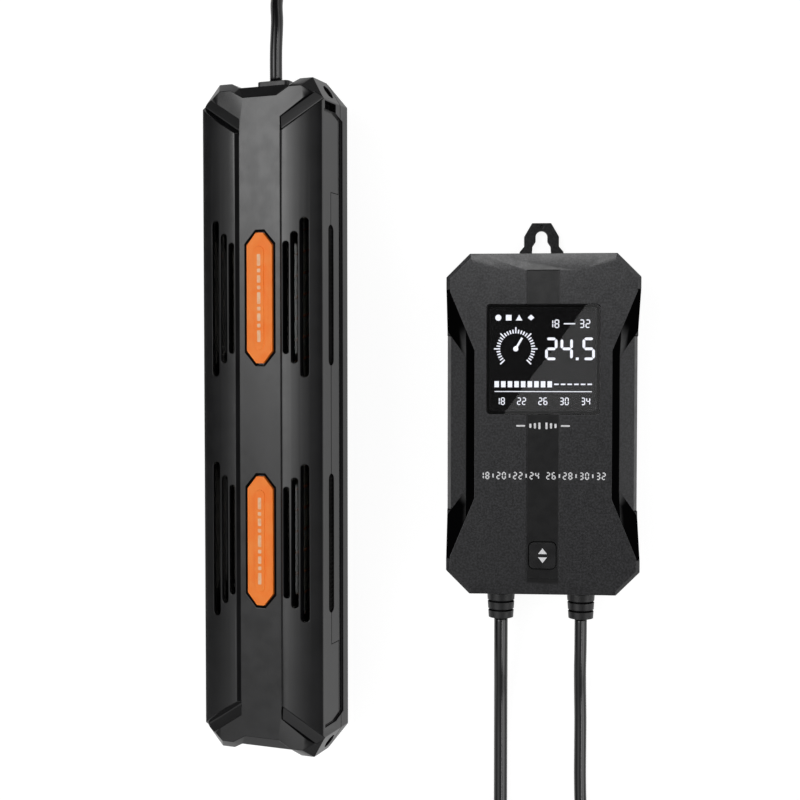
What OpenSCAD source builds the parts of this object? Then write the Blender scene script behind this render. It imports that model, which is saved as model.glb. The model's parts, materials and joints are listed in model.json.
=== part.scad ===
// Submersible aquarium heater with its wired temperature controller.
// The heater and the controller lie on one table, face up, with both leads put away in coils.

/* [Heater guard] */
// Width of the guard across both wings
guard_w = 57; // [55:0.5:62]
// Depth of the guard at its side edges
guard_depth = 27; // [26:0.5:31]
// Length of the side edges beyond the tubes, both ends together
guard_over_l = 44.5; // [42:0.5:60]
// Length of the corner horns beyond the side edges
horn_rise = 9.8; // [8.6:0.2:12]
// Wall thickness of both guard shells
guard_wall = 2.4; // [2:0.1:2.8]
// Height of the centre strip above the side edges
strip_rise = 1.9; // [1.6:0.1:2.6]
// Width of the centre strip
strip_w = 19.6; // [18:0.2:21]
// Height of the inner edge of each wing above the centre strip
wing_step = 1.5; // [1:0.1:1.8]
// Angle of the diagonal ends of the wings
wing_end_angle = 33; // [29:0.5:35]
// Width of the groove past each wing end
groove_w = 5.6; // [4.5:0.1:6.5]
// Depth of that groove below the centre strip
groove_depth = 1.1; // [0.8:0.1:1.4]
// Depth of the recessed panel on each side
panel_depth = 1; // [0.5:0.1:1]
// Roll of the heater on the table, about its long axis
heater_roll = 17; // [14:0.5:19]

/* [Guard vents and badges] */
// Distance of each badge from the middle of the guard
badge_y = 52; // [46:0.5:56]
// Length of a badge recess
badge_l = 58; // [50:0.5:62]
// Width of a badge recess
badge_w = 14.5; // [12:0.1:15.5]
// Open line around a badge plate
badge_gap = 1.2; // [0.8:0.1:1.6]
// Width of the narrowest wing slot
slot_w = 2.8; // [2:0.1:3]
// Length of the innermost wing slot
slot_l = 47.6; // [40:0.2:50]
// Length of a slot in the side walls
side_slot_l = 60; // [50:0.5:66]
// Width of a slot in the side walls
side_slot_w = 5; // [4:0.1:6]

/* [Heating tubes] */
// Outer diameter of a quartz tube
tube_d = 17.6; // [16:0.2:18]
// Glass thickness of a quartz tube
tube_wall = 1.2; // [0.8:0.1:1.6]
// Length of a quartz tube
tube_l = 226; // [200:1:230]
// Distance between the two tube axes
tube_pitch = 25.6; // [25:0.1:26.6]
// Diameter of the ceramic core in each tube
core_d = 6.4; // [5:0.1:7]
// Length of the wound part of each core
winding_l = 184; // [150:1:190]
// Diameter of the heating wire
wire_d = 1.2; // [1:0.1:1.4]

/* [Suction cups] */
// Diameter of a suction cup at its rim
cup_d = 30; // [26:0.5:31]
// Diameter of the ball that holds a suction cup
cup_ball_d = 7; // [6:0.1:7.2]
// Distance of each cup from the middle of the guard
cup_y = 104; // [94:0.5:107]

/* [Controller] */
// Width of the controller case
case_w = 82; // [80:0.5:90]
// Length of the controller case
case_l = 145; // [142:0.5:156]
// Height of the controller case
case_h = 33; // [32:0.5:38]
// Height of the rear cover, up to the parting line
rear_h = 12; // [11:0.5:14]
// Wall thickness of the case
case_wall = 2.2; // [1.8:0.1:2.6]
// Size of the cut corners of the case
case_chamfer = 10; // [8:0.5:12]
// Width of the bevel around the front face
case_bevel = 1.7; // [1:0.1:2.2]
// Depth of the grip recesses on both sides
grip_depth = 8; // [6:0.5:9]
// Gap between the heater and the controller
case_gap = 44; // [38:0.5:60]
// Distance from the middle of the heater to the middle of the controller, along the heater
case_shift = 1.8; // [0:0.2:8]

/* [Controller front] */
// Width of the display window
window_w = 47.6; // [44:0.2:50]
// Length of the display window
window_l = 46.4; // [44:0.2:48]
// Distance of the middle of the window from the upper end of the case
window_y = 44.8; // [43.5:0.1:46.5]
// Thickness of the display window
window_t = 1.6; // [1.2:0.1:1.8]
// Size of the square button
button_w = 11.2; // [9:0.1:12]
// Distance of the middle of the button from the lower end of the case
button_y = 17; // [15.5:0.1:18.5]
// Travel of the button
button_travel = 0.8; // [0.5:0.1:0.9]
// Height of the button above the front face
button_rise = 0.4; // [0.2:0.1:1.2]

/* [Hanging tab] */
// Length of the hanging tab past the case
tab_l = 15.5; // [14:0.1:17]
// Width of the hanging tab
tab_w = 15.4; // [14.6:0.1:18]
// Thickness of the hanging tab
tab_t = 3.2; // [2.6:0.1:4]
// Width of the narrow end of the keyhole
keyhole_w = 5.2; // [4.6:0.1:5.6]

/* [Leads] */
// Diameter of the lead between the heater and the controller
heater_lead_d = 5.4; // [5:0.1:5.6]
// Diameter of the mains lead
mains_lead_d = 6; // [5.6:0.1:6.2]
// Distance between the two leads at the controller
lead_pitch = 35; // [33:0.5:36]
// Width of the ties around the coils
tie_w = 8; // [6:0.5:9]
// Thickness of the ties
tie_t = 0.8; // [0.6:0.1:1]

/* [Mains plug] */
// Width of the plug body
plug_w = 35; // [33:0.5:36]
// Thickness of the plug body
plug_t = 13.7; // [12.5:0.1:14.5]
// Length of the plug body
plug_l = 34; // [30:0.5:38]
// Diameter of a plug pin
pin_d = 4; // [3.8:0.1:4.2]
// Length of a plug pin
pin_l = 19; // [17:0.5:19.5]
// Distance between the plug pins
pin_pitch = 18.6; // [17:0.1:19]

/* [Hidden] */
$fn = 48;

// Clearances: a line between two shells, a loose fit, a fit inside the case, a running fit
seam = 0.15;
loose = 0.3;
snug = 0.1;
cut = 1;

// Heater frame: x across the wings, y along the guard towards the lead, z out of its front
side_x = guard_w / 2;
edge_z = 12.5;
back_z = edge_z - guard_depth;
guard_edge_l = tube_l + guard_over_l;
edge_y = guard_edge_l / 2;
tip_y = edge_y + horn_rise;
strip_z = edge_z + strip_rise;
wing_z = strip_z + wing_step;
wing_in = strip_w / 2 + wing_step * 0.8;
wing_drop = wing_z - edge_z;
wing_run = side_x - wing_in;
wing_r = (wing_run * wing_run + wing_drop * wing_drop) / (2 * wing_drop);
wing_end_in = 1.4;
wing_end_y = edge_y - wing_end_in - wing_run * tan(wing_end_angle);
wing_skirt = 4;
arm_in = 8.5;
arm_x = side_x - arm_in;
arm_fall = 0.3;
arm_z = strip_z - arm_fall;
shoulder_fall = 0.5;
shoulder_z = edge_z - shoulder_fall;
end_block_l = 12;
end_block_y = edge_y - end_block_l;
horn_w = 5.9;
horn_cut = 6.2;
horn_out = side_x - horn_cut;
horn_in = horn_out - horn_w;
horn_front_z = 8.3;
horn_face_l = 4.2;
horn_face_y = tip_y - horn_face_l;
horn_lean = 2.5;
horn_bevel = 0.6;
notch_x = 8;
notch_back_x = 12.1;
notch_l = [7.6, 2.3];
notch_y = tip_y - notch_l[0];
notch_back_y = tip_y - notch_l[1];
notch_fall = 5;
part_h = 8.5;
part_z = back_z + part_h;
back_round = 1.2;
roof_t = 2.8;
ceiling_z = strip_z - roof_t;
cavity_x = side_x - guard_wall;
cavity_end = 14.25;
cavity_y = edge_y - cavity_end;
tongue_h = 16;
tongue_z = back_z + tongue_h;
tongue_end = 24;
tongue_y = cavity_y - tongue_end;
end_wall = 2;
end_skin = [7.5, 1.25, 4];
end_cavity = [side_x - end_skin[0], edge_y - end_skin[1], edge_z - end_skin[2]];
panel_edge = 2.2;
panel_foot = 6;
panel_end = 4.2;
panel_top_z = edge_z - panel_edge;
panel_low_z = back_z + panel_foot;
panel_y = edge_y - panel_end;
panel_corner = 2.5;
panel_corner_h = 7.5;
slit = [3.2, 3.3, 11];
corner_hole_d = 6.6;
corner_hole_t = 2.2;
corner_hole_z = -0.5;
slit_z = -1.5;
slot_rib_t = 1.6;
slot_rib_h = 7.2;
slot_rib_past = 3;
slot_in = [3.2, 7, 11.4];
slot_x = [for (x = slot_in) strip_w / 2 + x];
slot_wider = [0, 0.4, 1];
slot_widths = [for (w = slot_wider) slot_w + w];
slot_longer = [0, 8, 19.6];
slot_lengths = [for (l = slot_longer) slot_l + l];
side_slot_shift = 1.3;
side_slot_y = badge_y + side_slot_shift;
vent_shift = 3;
groove_fall = 7;
groove_wall_w = 1.2;
groove_floor_w = 0.7;
badge_recess = 1.4;
badge_tip = 4.3;
badge_shoulder = 5.8;
badge_rise = 0.6;
badge_bar = [4.6, 44, 0.4];

// Heating tubes
tube_r = tube_d / 2;
tube_bore_r = tube_r - tube_wall;
tube_z = (ceiling_z + back_z + guard_wall) / 2;
tube_end_gap = 5;
tube_top_y = cavity_y - tube_end_gap;
tube_low_y = tube_top_y - tube_l;
winding_pitch = 9.2;
winding_y = winding_l / 2;
curl_rings = 8;
stopper_l = 10.7;
stopper_lip = 2;
cap_r = (ceiling_z - back_z - guard_wall) / 2 - loose;
cap_l = 16;
cap_bridge_t = 12;
cradle_l = 14;
cradle_floor = 4;
cap_gap = 1.4;
cap_y = cavity_y - cap_l - cap_gap;
probe_d = 5;
probe_l = 44;
probe_seat = 9.6;
fuse_d = 3.4;
fuse_l = 12;
fuse_wire_l = 4;
screw_bore_r = 1.25;
screw_r = 1.15;
screw_head_r = 2.5;
screw_head_t = 1.8;
boss_r = 3;
screw_grip = 7;
screw_sink = 0.4;
mid_screw_y = 25;
end_screw_x = 17;
end_screw_in = 7.25;
guard_screw_xy = [
    for (y = [-1, 1]) each [
        [0, y * mid_screw_y],
        [end_screw_x, y * (edge_y - end_screw_in)], [-end_screw_x, y * (edge_y - end_screw_in)]
    ]
];

// Lead gland at the top of the heater
gland_r = 5.2;
gland_collar = [15.2, 7.8, 2];
gland_z = -1.6;
gland_rise = 1.3;
gland_grip = 1.2;
gland_top_y = tip_y + gland_rise;
gland_low_y = cavity_y - gland_grip;

// Where the heater lies: on its rounded left back edge and on both cups
back_corner = [side_x - back_round, -back_z - back_round];
heater_z = back_corner[0] * sin(heater_roll) + back_corner[1] * cos(heater_roll) + back_round;
heater_left = side_x * cos(heater_roll) + edge_z * sin(heater_roll);
heater_right = back_corner[0] * cos(heater_roll) + back_corner[1] * sin(heater_roll) + back_round;
total_w = heater_left + heater_right + case_gap + case_w;
heater_x = heater_left - total_w / 2;
heater_y = (tip_y - gland_top_y) / 2;
case_x = total_w / 2 - case_w / 2;
case_y = heater_y - case_shift;

// Suction cups
cup_ball_r = cup_ball_d / 2;
cup_ball_in = 2.1;
cup_ball_z = back_z + cup_ball_in;
cup_neck_in = 1.3;
cup_neck_r = cup_ball_r - cup_neck_in;
cup_h = heater_z + cup_ball_z * cos(heater_roll);
cup_ball_x = heater_x - cup_ball_z * sin(heater_roll);
cup_tilt = 20;
socket_gap = 0.2;
socket_r = cup_ball_r + socket_gap;
socket_wall = 2.4;
cup_hollow = 1.9;
cup_wall = 1.4;
cup_rim_t = 0.7;
cup_lip = 1.6;

// Controller frame: x across, y towards the hanging tab, z out of its front
face_z = case_h;
inner_z = case_h - case_wall;
window_at_y = case_l / 2 - window_y;
button_at_y = button_y - case_l / 2;
window_frame = 5.1;
grip_wall_w = 4;
grip_in_x = window_w / 2 + window_frame;
grip_out_x = grip_in_x + grip_wall_w;
band_w = 13.8;
band_end = 7.2;
band_y = case_l / 2 - band_end;
band_sink = 0.25;
facet_run = [0.8, 0.5];
facet_end = [7.5, 3.7];
facet_x = [16, case_w / 2 - case_chamfer - facet_run[0], case_w / 2 - case_chamfer + facet_run[1]];
facet_y = [case_l / 2 - facet_end[0], case_l / 2 - facet_end[1]];
facet_fall = 2.6;
grip_y = 31.5;
grip_low_y = 28.5;
grip_slant = 2.4;
grip_floor_slant = 1.44;
grip_floor_z = case_h - grip_depth;
inner_x = grip_in_x - case_wall;
inner_y = case_l / 2 - case_wall;
grip_fall = grip_depth * (grip_slant - grip_floor_slant)
    / (grip_slant * (grip_out_x - grip_in_x) + grip_y - grip_low_y);
function grip_floor(x) = grip_floor_z - grip_fall * (x - grip_out_x);
ledge_fall = 2.4 * case_bevel;
shelf_z = grip_floor(case_w / 2) - ledge_fall;
boss_in = [1.2, 8];
cover_boss_xy = [inner_x - boss_in[0], case_l / 2 - boss_in[1]];
cover_boss_r = 3;
cover_screw_grip = 8;
rear_boss_r = screw_head_r + loose + 1;
board_gap = 1;
board_end = 13.5;
board_w = 2 * (inner_x - board_gap);
board_l = case_l - 2 * board_end;
board_t = 1.6;
main_board_z = 6;
main_top_z = main_board_z + board_t;
display_drop = 11;
display_board_z = case_h - display_drop;
display_top_z = display_board_z + board_t;
display_post_in = [4.6, 4.5, 5.5];
display_post_gap = 16.5;
display_post_x = board_w / 2 - display_post_in[0];
display_post_y = [
    board_l / 2 - display_post_in[1], window_at_y - window_l / 2 - display_post_gap,
    display_post_in[2] - board_l / 2
];
main_post_in = [4, 7];
main_post = [board_w / 2 - main_post_in[0], board_l / 2 - main_post_in[1]];
post_r = 2.4;
board_screw_r = 0.85;
board_screw_l = 5;
board_screw_head = [1.9, 1.2];
board_hole_r = board_screw_r + 2 * snug;
window_ledge = 1.5;
window_sink = 0.2;
window_round = 1.5;
lcd_t = 2.2;
lcd_inset = 1;
tray_wall = 1.5;
button_clear = 0.25;
button_round = 2;
button_flange = 1.2;
flange_t = 1.5;
button_low_z = inner_z - flange_t - 1.4;
relief_out = 13.4;
relief_r = 5;
relief_in_r = 5.2;
relief_flange_r = 7;
relief_flange_t = 1.6;
relief_tail_l = 4.4;
relief_x = lead_pitch / 2;
ribs = 3;
rib_l = 3;
rib_gap = 0.9;
rib_rise = 1.1;
rib_fall = 0.25;
tail_r = 0.9;
tail_pitch = 2.6;
gasket_w = 1.1;
gasket_t = 0.85;
tab_hole_in = 6.1;
tab_hole_y = case_l / 2 + tab_l - tab_hole_in;
tab_tip = 4.2;
tab_foot = 2;
tab_dimple = 0.9;
keyhole_flare = 1.4;
// What stands on the main board
terminal_in = 5;
terminal_in_x = 7.2;
terminal_y = terminal_in - board_l / 2;
terminal_size = [board_w - 2 * terminal_in_x, 9, 9.5];
terminal_top_y = terminal_y + terminal_size[1];
terminal_screw = [1.8, 3.5];
terminals = 6;
connector_gap = 6;
connector_at = [main_post[0], connector_gap - main_post[1], main_top_z];
connector_size = [2.6, 24];
relay_gap = 7;
relay_at = [6, terminal_top_y + relay_gap, main_top_z];
relay_size = [10, 28, 12];
power_at = [-20, 6, main_top_z];
power_base = [24, 30, 4];
power_top = [17, 23, 9];
power_inset = 3.5;
capacitor_at = [14, 20, main_top_z];
capacitor_h = 12;
capacitor_r = 4.5;
fuse_gap = 5;
fuse_lift = 3.2;
fuse_tube_l = 20;
fuse_tube_r = 2.6;
fuse_at = [-12, terminal_top_y + fuse_gap + fuse_tube_l / 2];
fuse_clip = 3;
fuse_clip_pitch = 14;
buzzer_end = 15;
buzzer_at = [12, board_l / 2 - buzzer_end, main_top_z];
buzzer_h = 7;
buzzer_r = 5.5;
buzzer_port = 1;
tact_w = 6;
tact_h = 3.2;
tact_stem_r = 1.7;

// Lead ends, the coils that hold the rest of each lead, and the ties around them
lead_start = [
    heater_x - gland_z * sin(heater_roll), heater_y + gland_top_y,
    heater_z + gland_z * cos(heater_roll)
];
relief_end_y = case_y - case_l / 2 - relief_out;
left_lead_x = case_x - relief_x;
right_lead_x = case_x + relief_x;
lead_sway = 0.6;
heater_coil_turns = 3.375;
mains_coil_turns = 5.75;
turn_gap = 0.6;
tie_gap = 0.3;
tie_slack = 1.1;
lead_sides = 8;
coil_sides = 6;
coil_rings = 24;
heater_coil_r = heater_lead_d * 5.75;
mains_coil_r = mains_lead_d * 6;
heater_coil_out = coil_out_r(heater_coil_r, heater_lead_d, heater_coil_turns);
mains_coil_out = coil_out_r(mains_coil_r, mains_lead_d, mains_coil_turns);
side_run_x = 175;
heater_lead_in = 16;
mains_lead_in = 21;
heater_coil_at = [side_run_x - heater_coil_out, -222, tie_t + tie_gap + heater_lead_d / 2];
mains_coil_at = [left_lead_x - mains_coil_out, -230, tie_t + tie_gap + mains_lead_d / 2];
heater_coil_exit = coil_exit(heater_coil_at, heater_coil_r, heater_lead_d, heater_coil_turns);
mains_coil_exit = coil_exit(mains_coil_at, mains_coil_r, mains_lead_d, mains_coil_turns);
plug_at = [62, -213, plug_t / 2];
plug_relief_l = 24;
plug_relief_wall = 0.8;
plug_ribs = 4;
plug_neck_w = 15;
plug_face_l = 15;
pin_tip = 1;

// Route of the heater lead from the gland, round the controller, to its coil
heater_top_points = [
    lead_start, lead_start + [0, 13, 0],
    [-62.5, 172, 18.5], [-63.2, 183, 14.5], [-61, 194, 9.5], [-55, 204, 5.5],
    [-44, 211, 3.3], [-30, 214, 2.7], [-5, 215, 2.7], [25, 215, 2.7], [55, 215, 2.7],
    [85, 215, 2.7], [112, 215, 2.7], [133, 213, 2.7], [151, 206, 2.7], [164, 195, 2.7],
    [172, 180, 2.7], [side_run_x, 162, 2.7],
    for (y = [135 : -30 : -135]) [side_run_x, y, 2.7],
    [side_run_x, -165, 2.8], [side_run_x, -190, 3.3],
    [side_run_x, heater_coil_at[1] + heater_lead_in, heater_coil_at[2]],
    [side_run_x, heater_coil_at[1] + heater_lead_d, heater_coil_at[2]]
];
// From the coil to the right cord relief of the controller
heater_end_points = [
    heater_coil_exit, heater_coil_exit + 8 * coil_heading(heater_coil_turns),
    [91, -224.5, 7], [83, -214.5, 4.5], [77, -203, 3.1], [73.3, -190.5, 2.7], [71.6, -177, 2.7],
    [right_lead_x + lead_sway, -163, 2.7], [right_lead_x + lead_sway, -149, 2.7],
    [right_lead_x + lead_sway, -136, 3.2], [right_lead_x + lead_sway / 2, -124, 5.4],
    [right_lead_x, -113, 8.8], [right_lead_x, -103, 11.2],
    [right_lead_x, relief_end_y - 5, rear_h], [right_lead_x, relief_end_y, rear_h]
];
// Route of the mains lead from the left cord relief to its coil
mains_start_points = [
    [left_lead_x, relief_end_y, rear_h], [left_lead_x, relief_end_y - 5, rear_h],
    [left_lead_x, -103, 11.3], [left_lead_x, -113, 9], [left_lead_x, -124, 5.7],
    [left_lead_x, -136, 3.5], [left_lead_x, -150, 3], [left_lead_x, -170, 3],
    [left_lead_x, -190, 3.4],
    [left_lead_x, mains_coil_at[1] + mains_lead_in, mains_coil_at[2]],
    [left_lead_x, mains_coil_at[1] + mains_lead_d, mains_coil_at[2]]
];
// From the coil, over the lead where it enters, to the plug
mains_end_points = [
    mains_coil_exit, mains_coil_exit + 12 * coil_heading(mains_coil_turns),
    [24, -185.4, 10.7], [36, -186.5, 10.6], [46, -190, 9.8],
    [54.5, -196.5, 8.5], [60, -204.5, 7.3], plug_at + [0, 6, 0], plug_at
];

// ---- Functions for swept leads ----
function unit(v) = v / norm(v);
function smooth(t) = t <= 0 ? 0 : t >= 1 ? 1 : (1 - cos(180 * t)) / 2;

// One point of the smooth curve through four route points
function between(a, b, c, d, t) =
    0.5 * (2 * b + (c - a) * t + (2 * a - 5 * b + 4 * c - d) * t * t
    + (3 * b - a - 3 * c + d) * t * t * t);

// Route with extra points, so that rings lie about step apart
function eased(p, step) = let (n = len(p) - 1) [
    for (i = [0 : n - 1])
        let (a = p[max(i - 1, 0)], d = p[min(i + 2, n)])
        let (parts = max(1, round(norm(p[i + 1] - p[i]) / step)))
            for (k = [0 : parts - 1]) between(a, p[i], p[i + 1], d, k / parts),
    p[n]
];

function heading(p, i) = unit(p[min(i + 1, len(p) - 1)] - p[max(i - 1, 0)]);

// Corners of one ring of a tube, with a flat side down
function ring(centre, along, r, sides) =
    let (across = unit(cross(along, [0, 0, 1])), up = cross(across, along))
    [for (k = [0 : sides - 1])
        let (a = 360 * (k + 0.5) / sides - 90) centre + r * (cos(a) * across + sin(a) * up)];

// Closed tube of triangles along a list of points
module tube_along(p, d, sides) {
    rings = len(p);
    corners = [for (i = [0 : rings - 1]) each ring(p[i], heading(p, i), d / 2, sides)];
    walls = [
        for (i = [0 : rings - 2], k = [0 : sides - 1])
            let (a = i * sides + k, b = i * sides + (k + 1) % sides)
            each [[a, b, b + sides], [a, b + sides, a + sides]]
    ];
    caps = [
        for (k = [1 : sides - 2])
            each [[0, k + 1, k], let (e = (rings - 1) * sides) [e, e + k, e + k + 1]]
    ];
    polyhedron(corners, concat(walls, caps));
}

// A coil spirals in on its lower layer, climbs in half a turn, and spirals out on the upper one
function coil_pitch(d) = d + turn_gap;
function coil_turn_in(turns) = (turns - 0.5) / 2;
function coil_out_r(r_mid, d, turns) = r_mid + coil_pitch(d) * coil_turn_in(turns) / 2;
function coil_radius(s, r_mid, d, turns) =
    let (s1 = coil_turn_in(turns), p = coil_pitch(d), r_out = coil_out_r(r_mid, d, turns), t = s - s1)
    t < 0 ? r_out - p * s
    : t < 0.5 ? r_out - p * s1 - p * t + 2 * p * t * t
    : r_out - p * s1 + p * (t - 0.5);
function coil_point(s, at, r_mid, d, turns) =
    let (r = coil_radius(s, r_mid, d, turns), a = -360 * s)
    at + [r * cos(a), r * sin(a), coil_pitch(d) * smooth((s - coil_turn_in(turns)) / 0.5)];
function coil_heading(s) = [-sin(360 * s), -cos(360 * s), 0];
function coil_entry(at, r_mid, d, turns) = coil_point(0, at, r_mid, d, turns) - d * coil_heading(0);
function coil_exit(at, r_mid, d, turns) =
    coil_point(turns, at, r_mid, d, turns) + d * coil_heading(turns);
function coil_points(at, r_mid, d, turns) = [
    coil_entry(at, r_mid, d, turns),
    for (i = [0 : turns * coil_rings]) coil_point(i / coil_rings, at, r_mid, d, turns),
    coil_exit(at, r_mid, d, turns)
];
// Least gap of a coil to itself, between points half a turn or more apart
function least_gap(p, d) = min([
    for (i = [0 : len(p) - 1]) for (j = [i + coil_rings / 2 : 1 : len(p) - 1]) norm(p[i] - p[j])
]) - d;
function run_length(p) = sum_of([for (i = [1 : len(p) - 1]) norm(p[i] - p[i - 1])]);
function sum_of(v, i = 0) = i < len(v) ? v[i] + sum_of(v, i + 1) : 0;

top_step = 20;
end_step = 14;
heater_top_route = eased(heater_top_points, top_step);
heater_end_route = eased(heater_end_points, end_step);
mains_start_route = eased(mains_start_points, end_step);
mains_end_route = eased(mains_end_points, end_step);
heater_coil_points = coil_points(heater_coil_at, heater_coil_r, heater_lead_d, heater_coil_turns);
mains_coil_points = coil_points(mains_coil_at, mains_coil_r, mains_lead_d, mains_coil_turns);
echo(heater_coil_gap = least_gap(heater_coil_points, heater_lead_d));
echo(mains_coil_gap = least_gap(mains_coil_points, mains_lead_d));
echo(heater_lead_length = run_length(heater_top_route) + run_length(heater_coil_points)
    + run_length(heater_end_route));
echo(mains_lead_length = run_length(mains_start_route) + run_length(mains_coil_points)
    + run_length(mains_end_route));
echo(lead_rings = len(heater_top_route) + len(heater_end_route) + len(mains_start_route)
    + len(mains_end_route));

// ---- Shared shapes ----
module on_heater() {
    translate([heater_x, heater_y, heater_z]) rotate([0, -heater_roll, 0]) children();
}

module on_case() {
    translate([case_x, case_y, 0]) children();
}

module mirrored_x() {
    children();
    mirror([1, 0, 0]) children();
}

module mirrored_y() {
    children();
    mirror([0, 1, 0]) children();
}

// Section in x and z, drawn along y
module along_y(l) {
    rotate([90, 0, 0]) linear_extrude(l, center = true) children();
}

// Section in y and z, drawn along x
module along_x(l) {
    rotate([90, 0, 90]) linear_extrude(l, center = true) children();
}

module round_slot(w, l) {
    square([w, l - w], center = true);
    for (y = [-1, 1]) translate([0, y * (l - w) / 2]) circle(d = w, $fn = 24);
}

module round_rect(w, l, r) {
    square([w - 2 * r, l], center = true);
    square([w, l - 2 * r], center = true);
    for (x = [-1, 1], y = [-1, 1]) translate([x * (w / 2 - r), y * (l / 2 - r)]) circle(r, $fn = 24);
}

module octagon(w, l, c) {
    polygon([
        [w / 2, l / 2 - c], [w / 2 - c, l / 2], [c - w / 2, l / 2], [-w / 2, l / 2 - c],
        [-w / 2, c - l / 2], [c - w / 2, -l / 2], [w / 2 - c, -l / 2], [w / 2, c - l / 2]
    ]);
}

// Convex block with the given corners
module convex(corners) {
    hull() polyhedron(corners, [[for (i = [0 : len(corners) - 1]) i]]);
}

// ---- Heater guard ----
// Horned end of the front shell, from the wing ends to the tips
module horn_block() {
    convex([
        [notch_x, end_block_y, part_z], [side_x, end_block_y, part_z], [side_x, edge_y, part_z],
        [horn_out, tip_y, part_z], [horn_in, tip_y, part_z], [notch_back_x, notch_back_y, part_z],
        [horn_out, tip_y, horn_front_z], [horn_in, tip_y, horn_front_z],
        [side_x, end_block_y, shoulder_z], [side_x, edge_y, shoulder_z - 1],
        [strip_w / 2, end_block_y, strip_z], [arm_x, end_block_y, arm_z],
        [arm_x, horn_face_y - 2, arm_z], [arm_x - horn_bevel, horn_face_y, arm_z],
        [horn_in - horn_lean, horn_face_y, arm_z + arm_fall / 2],
        [notch_back_x, notch_back_y, strip_z - notch_fall], [notch_x, notch_y, strip_z]
    ]);
}

// Middle of one end, between its horns, with the slanted floor of the notch
module notch_bridge() {
    convex([
        for (x = [-1, 1]) each [
            [x * strip_w / 2, end_block_y, strip_z], [x * notch_x, notch_y, strip_z],
            [x * notch_back_x, notch_back_y, strip_z - notch_fall],
            [x * notch_back_x, end_block_y, strip_z - notch_fall],
            [x * notch_back_x, notch_back_y, part_z], [x * notch_back_x, end_block_y, part_z]
        ]
    ]);
}

// Convex pad of one wing, between the two diagonal ends
module wing_pad() {
    low_z = shoulder_z - wing_skirt;
    end_run = groove_w / 2 / cos(wing_end_angle);
    intersection() {
        along_y(guard_edge_l) intersection() {
            translate([wing_in, wing_z - wing_r]) circle(wing_r, $fn = 180);
            polygon([
                [strip_w / 2, low_z], [strip_w / 2, strip_z],
                [strip_w / 2 + 2 * (wing_in - strip_w / 2), strip_z + 2 * wing_step],
                [side_x, strip_z + 2 * wing_step], [side_x, low_z]
            ]);
        }
        translate([0, 0, low_z]) linear_extrude(wing_z) polygon([
            for (y = [1, -1], x = y > 0 ? [0, side_x] : [side_x, 0])
                [x, y * (wing_end_y + (x - wing_in) * tan(wing_end_angle) + end_run)]
        ]);
    }
}

// Groove across the shell past one wing end: a steep wall, a floor, and a slope up to the arm
module end_groove() {
    floor_z = strip_z - groove_depth;
    intersection() {
        translate([wing_in, wing_end_y, floor_z]) rotate([0, 0, wing_end_angle])
            rotate([0, groove_fall, 0]) along_x(3 * side_x) polygon([
                [-loose, 2 * groove_w], [-loose, wing_step + groove_depth + loose], [groove_wall_w, 0],
                [groove_wall_w + groove_floor_w, 0], [groove_w, groove_depth * 0.75],
                [groove_w + loose, 2 * groove_w]
            ]);
        translate([strip_w / 2, 0, 0]) cube([side_x, 2 * tip_y, 2 * strip_z]);
    }
}

// Recessed panel of one side wall with sloping edges, shared by both shells
module side_panel() {
    corner_z = panel_low_z + panel_corner_h;
    translate([side_x + panel_depth, 0, 0]) along_x(4 * panel_depth) polygon([
        [panel_y, panel_top_z], [panel_y, corner_z], [panel_y - panel_corner, panel_low_z],
        [panel_corner - panel_y, panel_low_z], [-panel_y, corner_z], [-panel_y, panel_top_z]
    ]);
}

module side_slots() {
    for (y = [-1, 1]) translate([cavity_x - cut, y * side_slot_y, tongue_z])
        rotate([0, 90, 0]) linear_extrude(guard_wall + 2 * cut) round_slot(side_slot_w, side_slot_l);
}

// Octagonal recess on the slanted face of one corner
module corner_hole() {
    slant = atan((side_x - horn_out) / horn_rise);
    translate([(side_x + horn_out) / 2, (edge_y + tip_y) / 2, corner_hole_z]) rotate([0, 90, slant])
        translate([0, 0, -corner_hole_t]) cylinder(2 * corner_hole_t, d = corner_hole_d, $fn = 8);
}

module badge_shape(inset) {
    w = badge_w / 2 - inset;
    l = badge_l / 2 - inset;
    tip = badge_tip / 2 - inset * 0.4;
    shoulder = l - badge_shoulder + inset * 0.4;
    polygon([
        [tip, l], [-tip, l], [-w, shoulder], [-w, -shoulder],
        [-tip, -l], [tip, -l], [w, -shoulder], [w, shoulder]
    ]);
}

module wing_slots() {
    for (i = [0 : len(slot_x) - 1], y = [-1, 1])
        translate([slot_x[i], y * badge_y, edge_z - wing_skirt]) linear_extrude(2 * wing_skirt)
            round_slot(slot_widths[i], slot_lengths[i]);
}

module front_solid() {
    along_y(2 * (end_block_y + cut)) polygon([
        [-side_x, part_z], [-side_x, shoulder_z], [-arm_x, arm_z], [-strip_w / 2, strip_z],
        [strip_w / 2, strip_z], [arm_x, arm_z], [side_x, shoulder_z], [side_x, part_z]
    ]);
    mirrored_x() mirrored_y() horn_block();
    mirrored_y() notch_bridge();
    mirrored_x() wing_pad();
}

module front_cavity() {
    low = part_z - cut;
    translate([-cavity_x, -cavity_y, low])
        cube([2 * cavity_x, 2 * cavity_y, ceiling_z - low]);
    mirrored_y() translate([-end_cavity[0], cavity_y + end_wall, low])
        cube([2 * end_cavity[0], end_cavity[1] - cavity_y - end_wall, end_cavity[2] - low]);
    mirrored_x() translate([cavity_x - cut, -tongue_y - seam, low])
        cube([guard_wall + 2 * cut, 2 * (tongue_y + seam), tongue_z + seam - low]);
}

module front_bosses() {
    for (p = guard_screw_xy) {
        top = abs(p[1]) > cavity_y ? end_cavity[2] : ceiling_z;
        translate([p[0], p[1], part_z]) cylinder(top - part_z + cut / 2, r = boss_r);
    }
}

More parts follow.
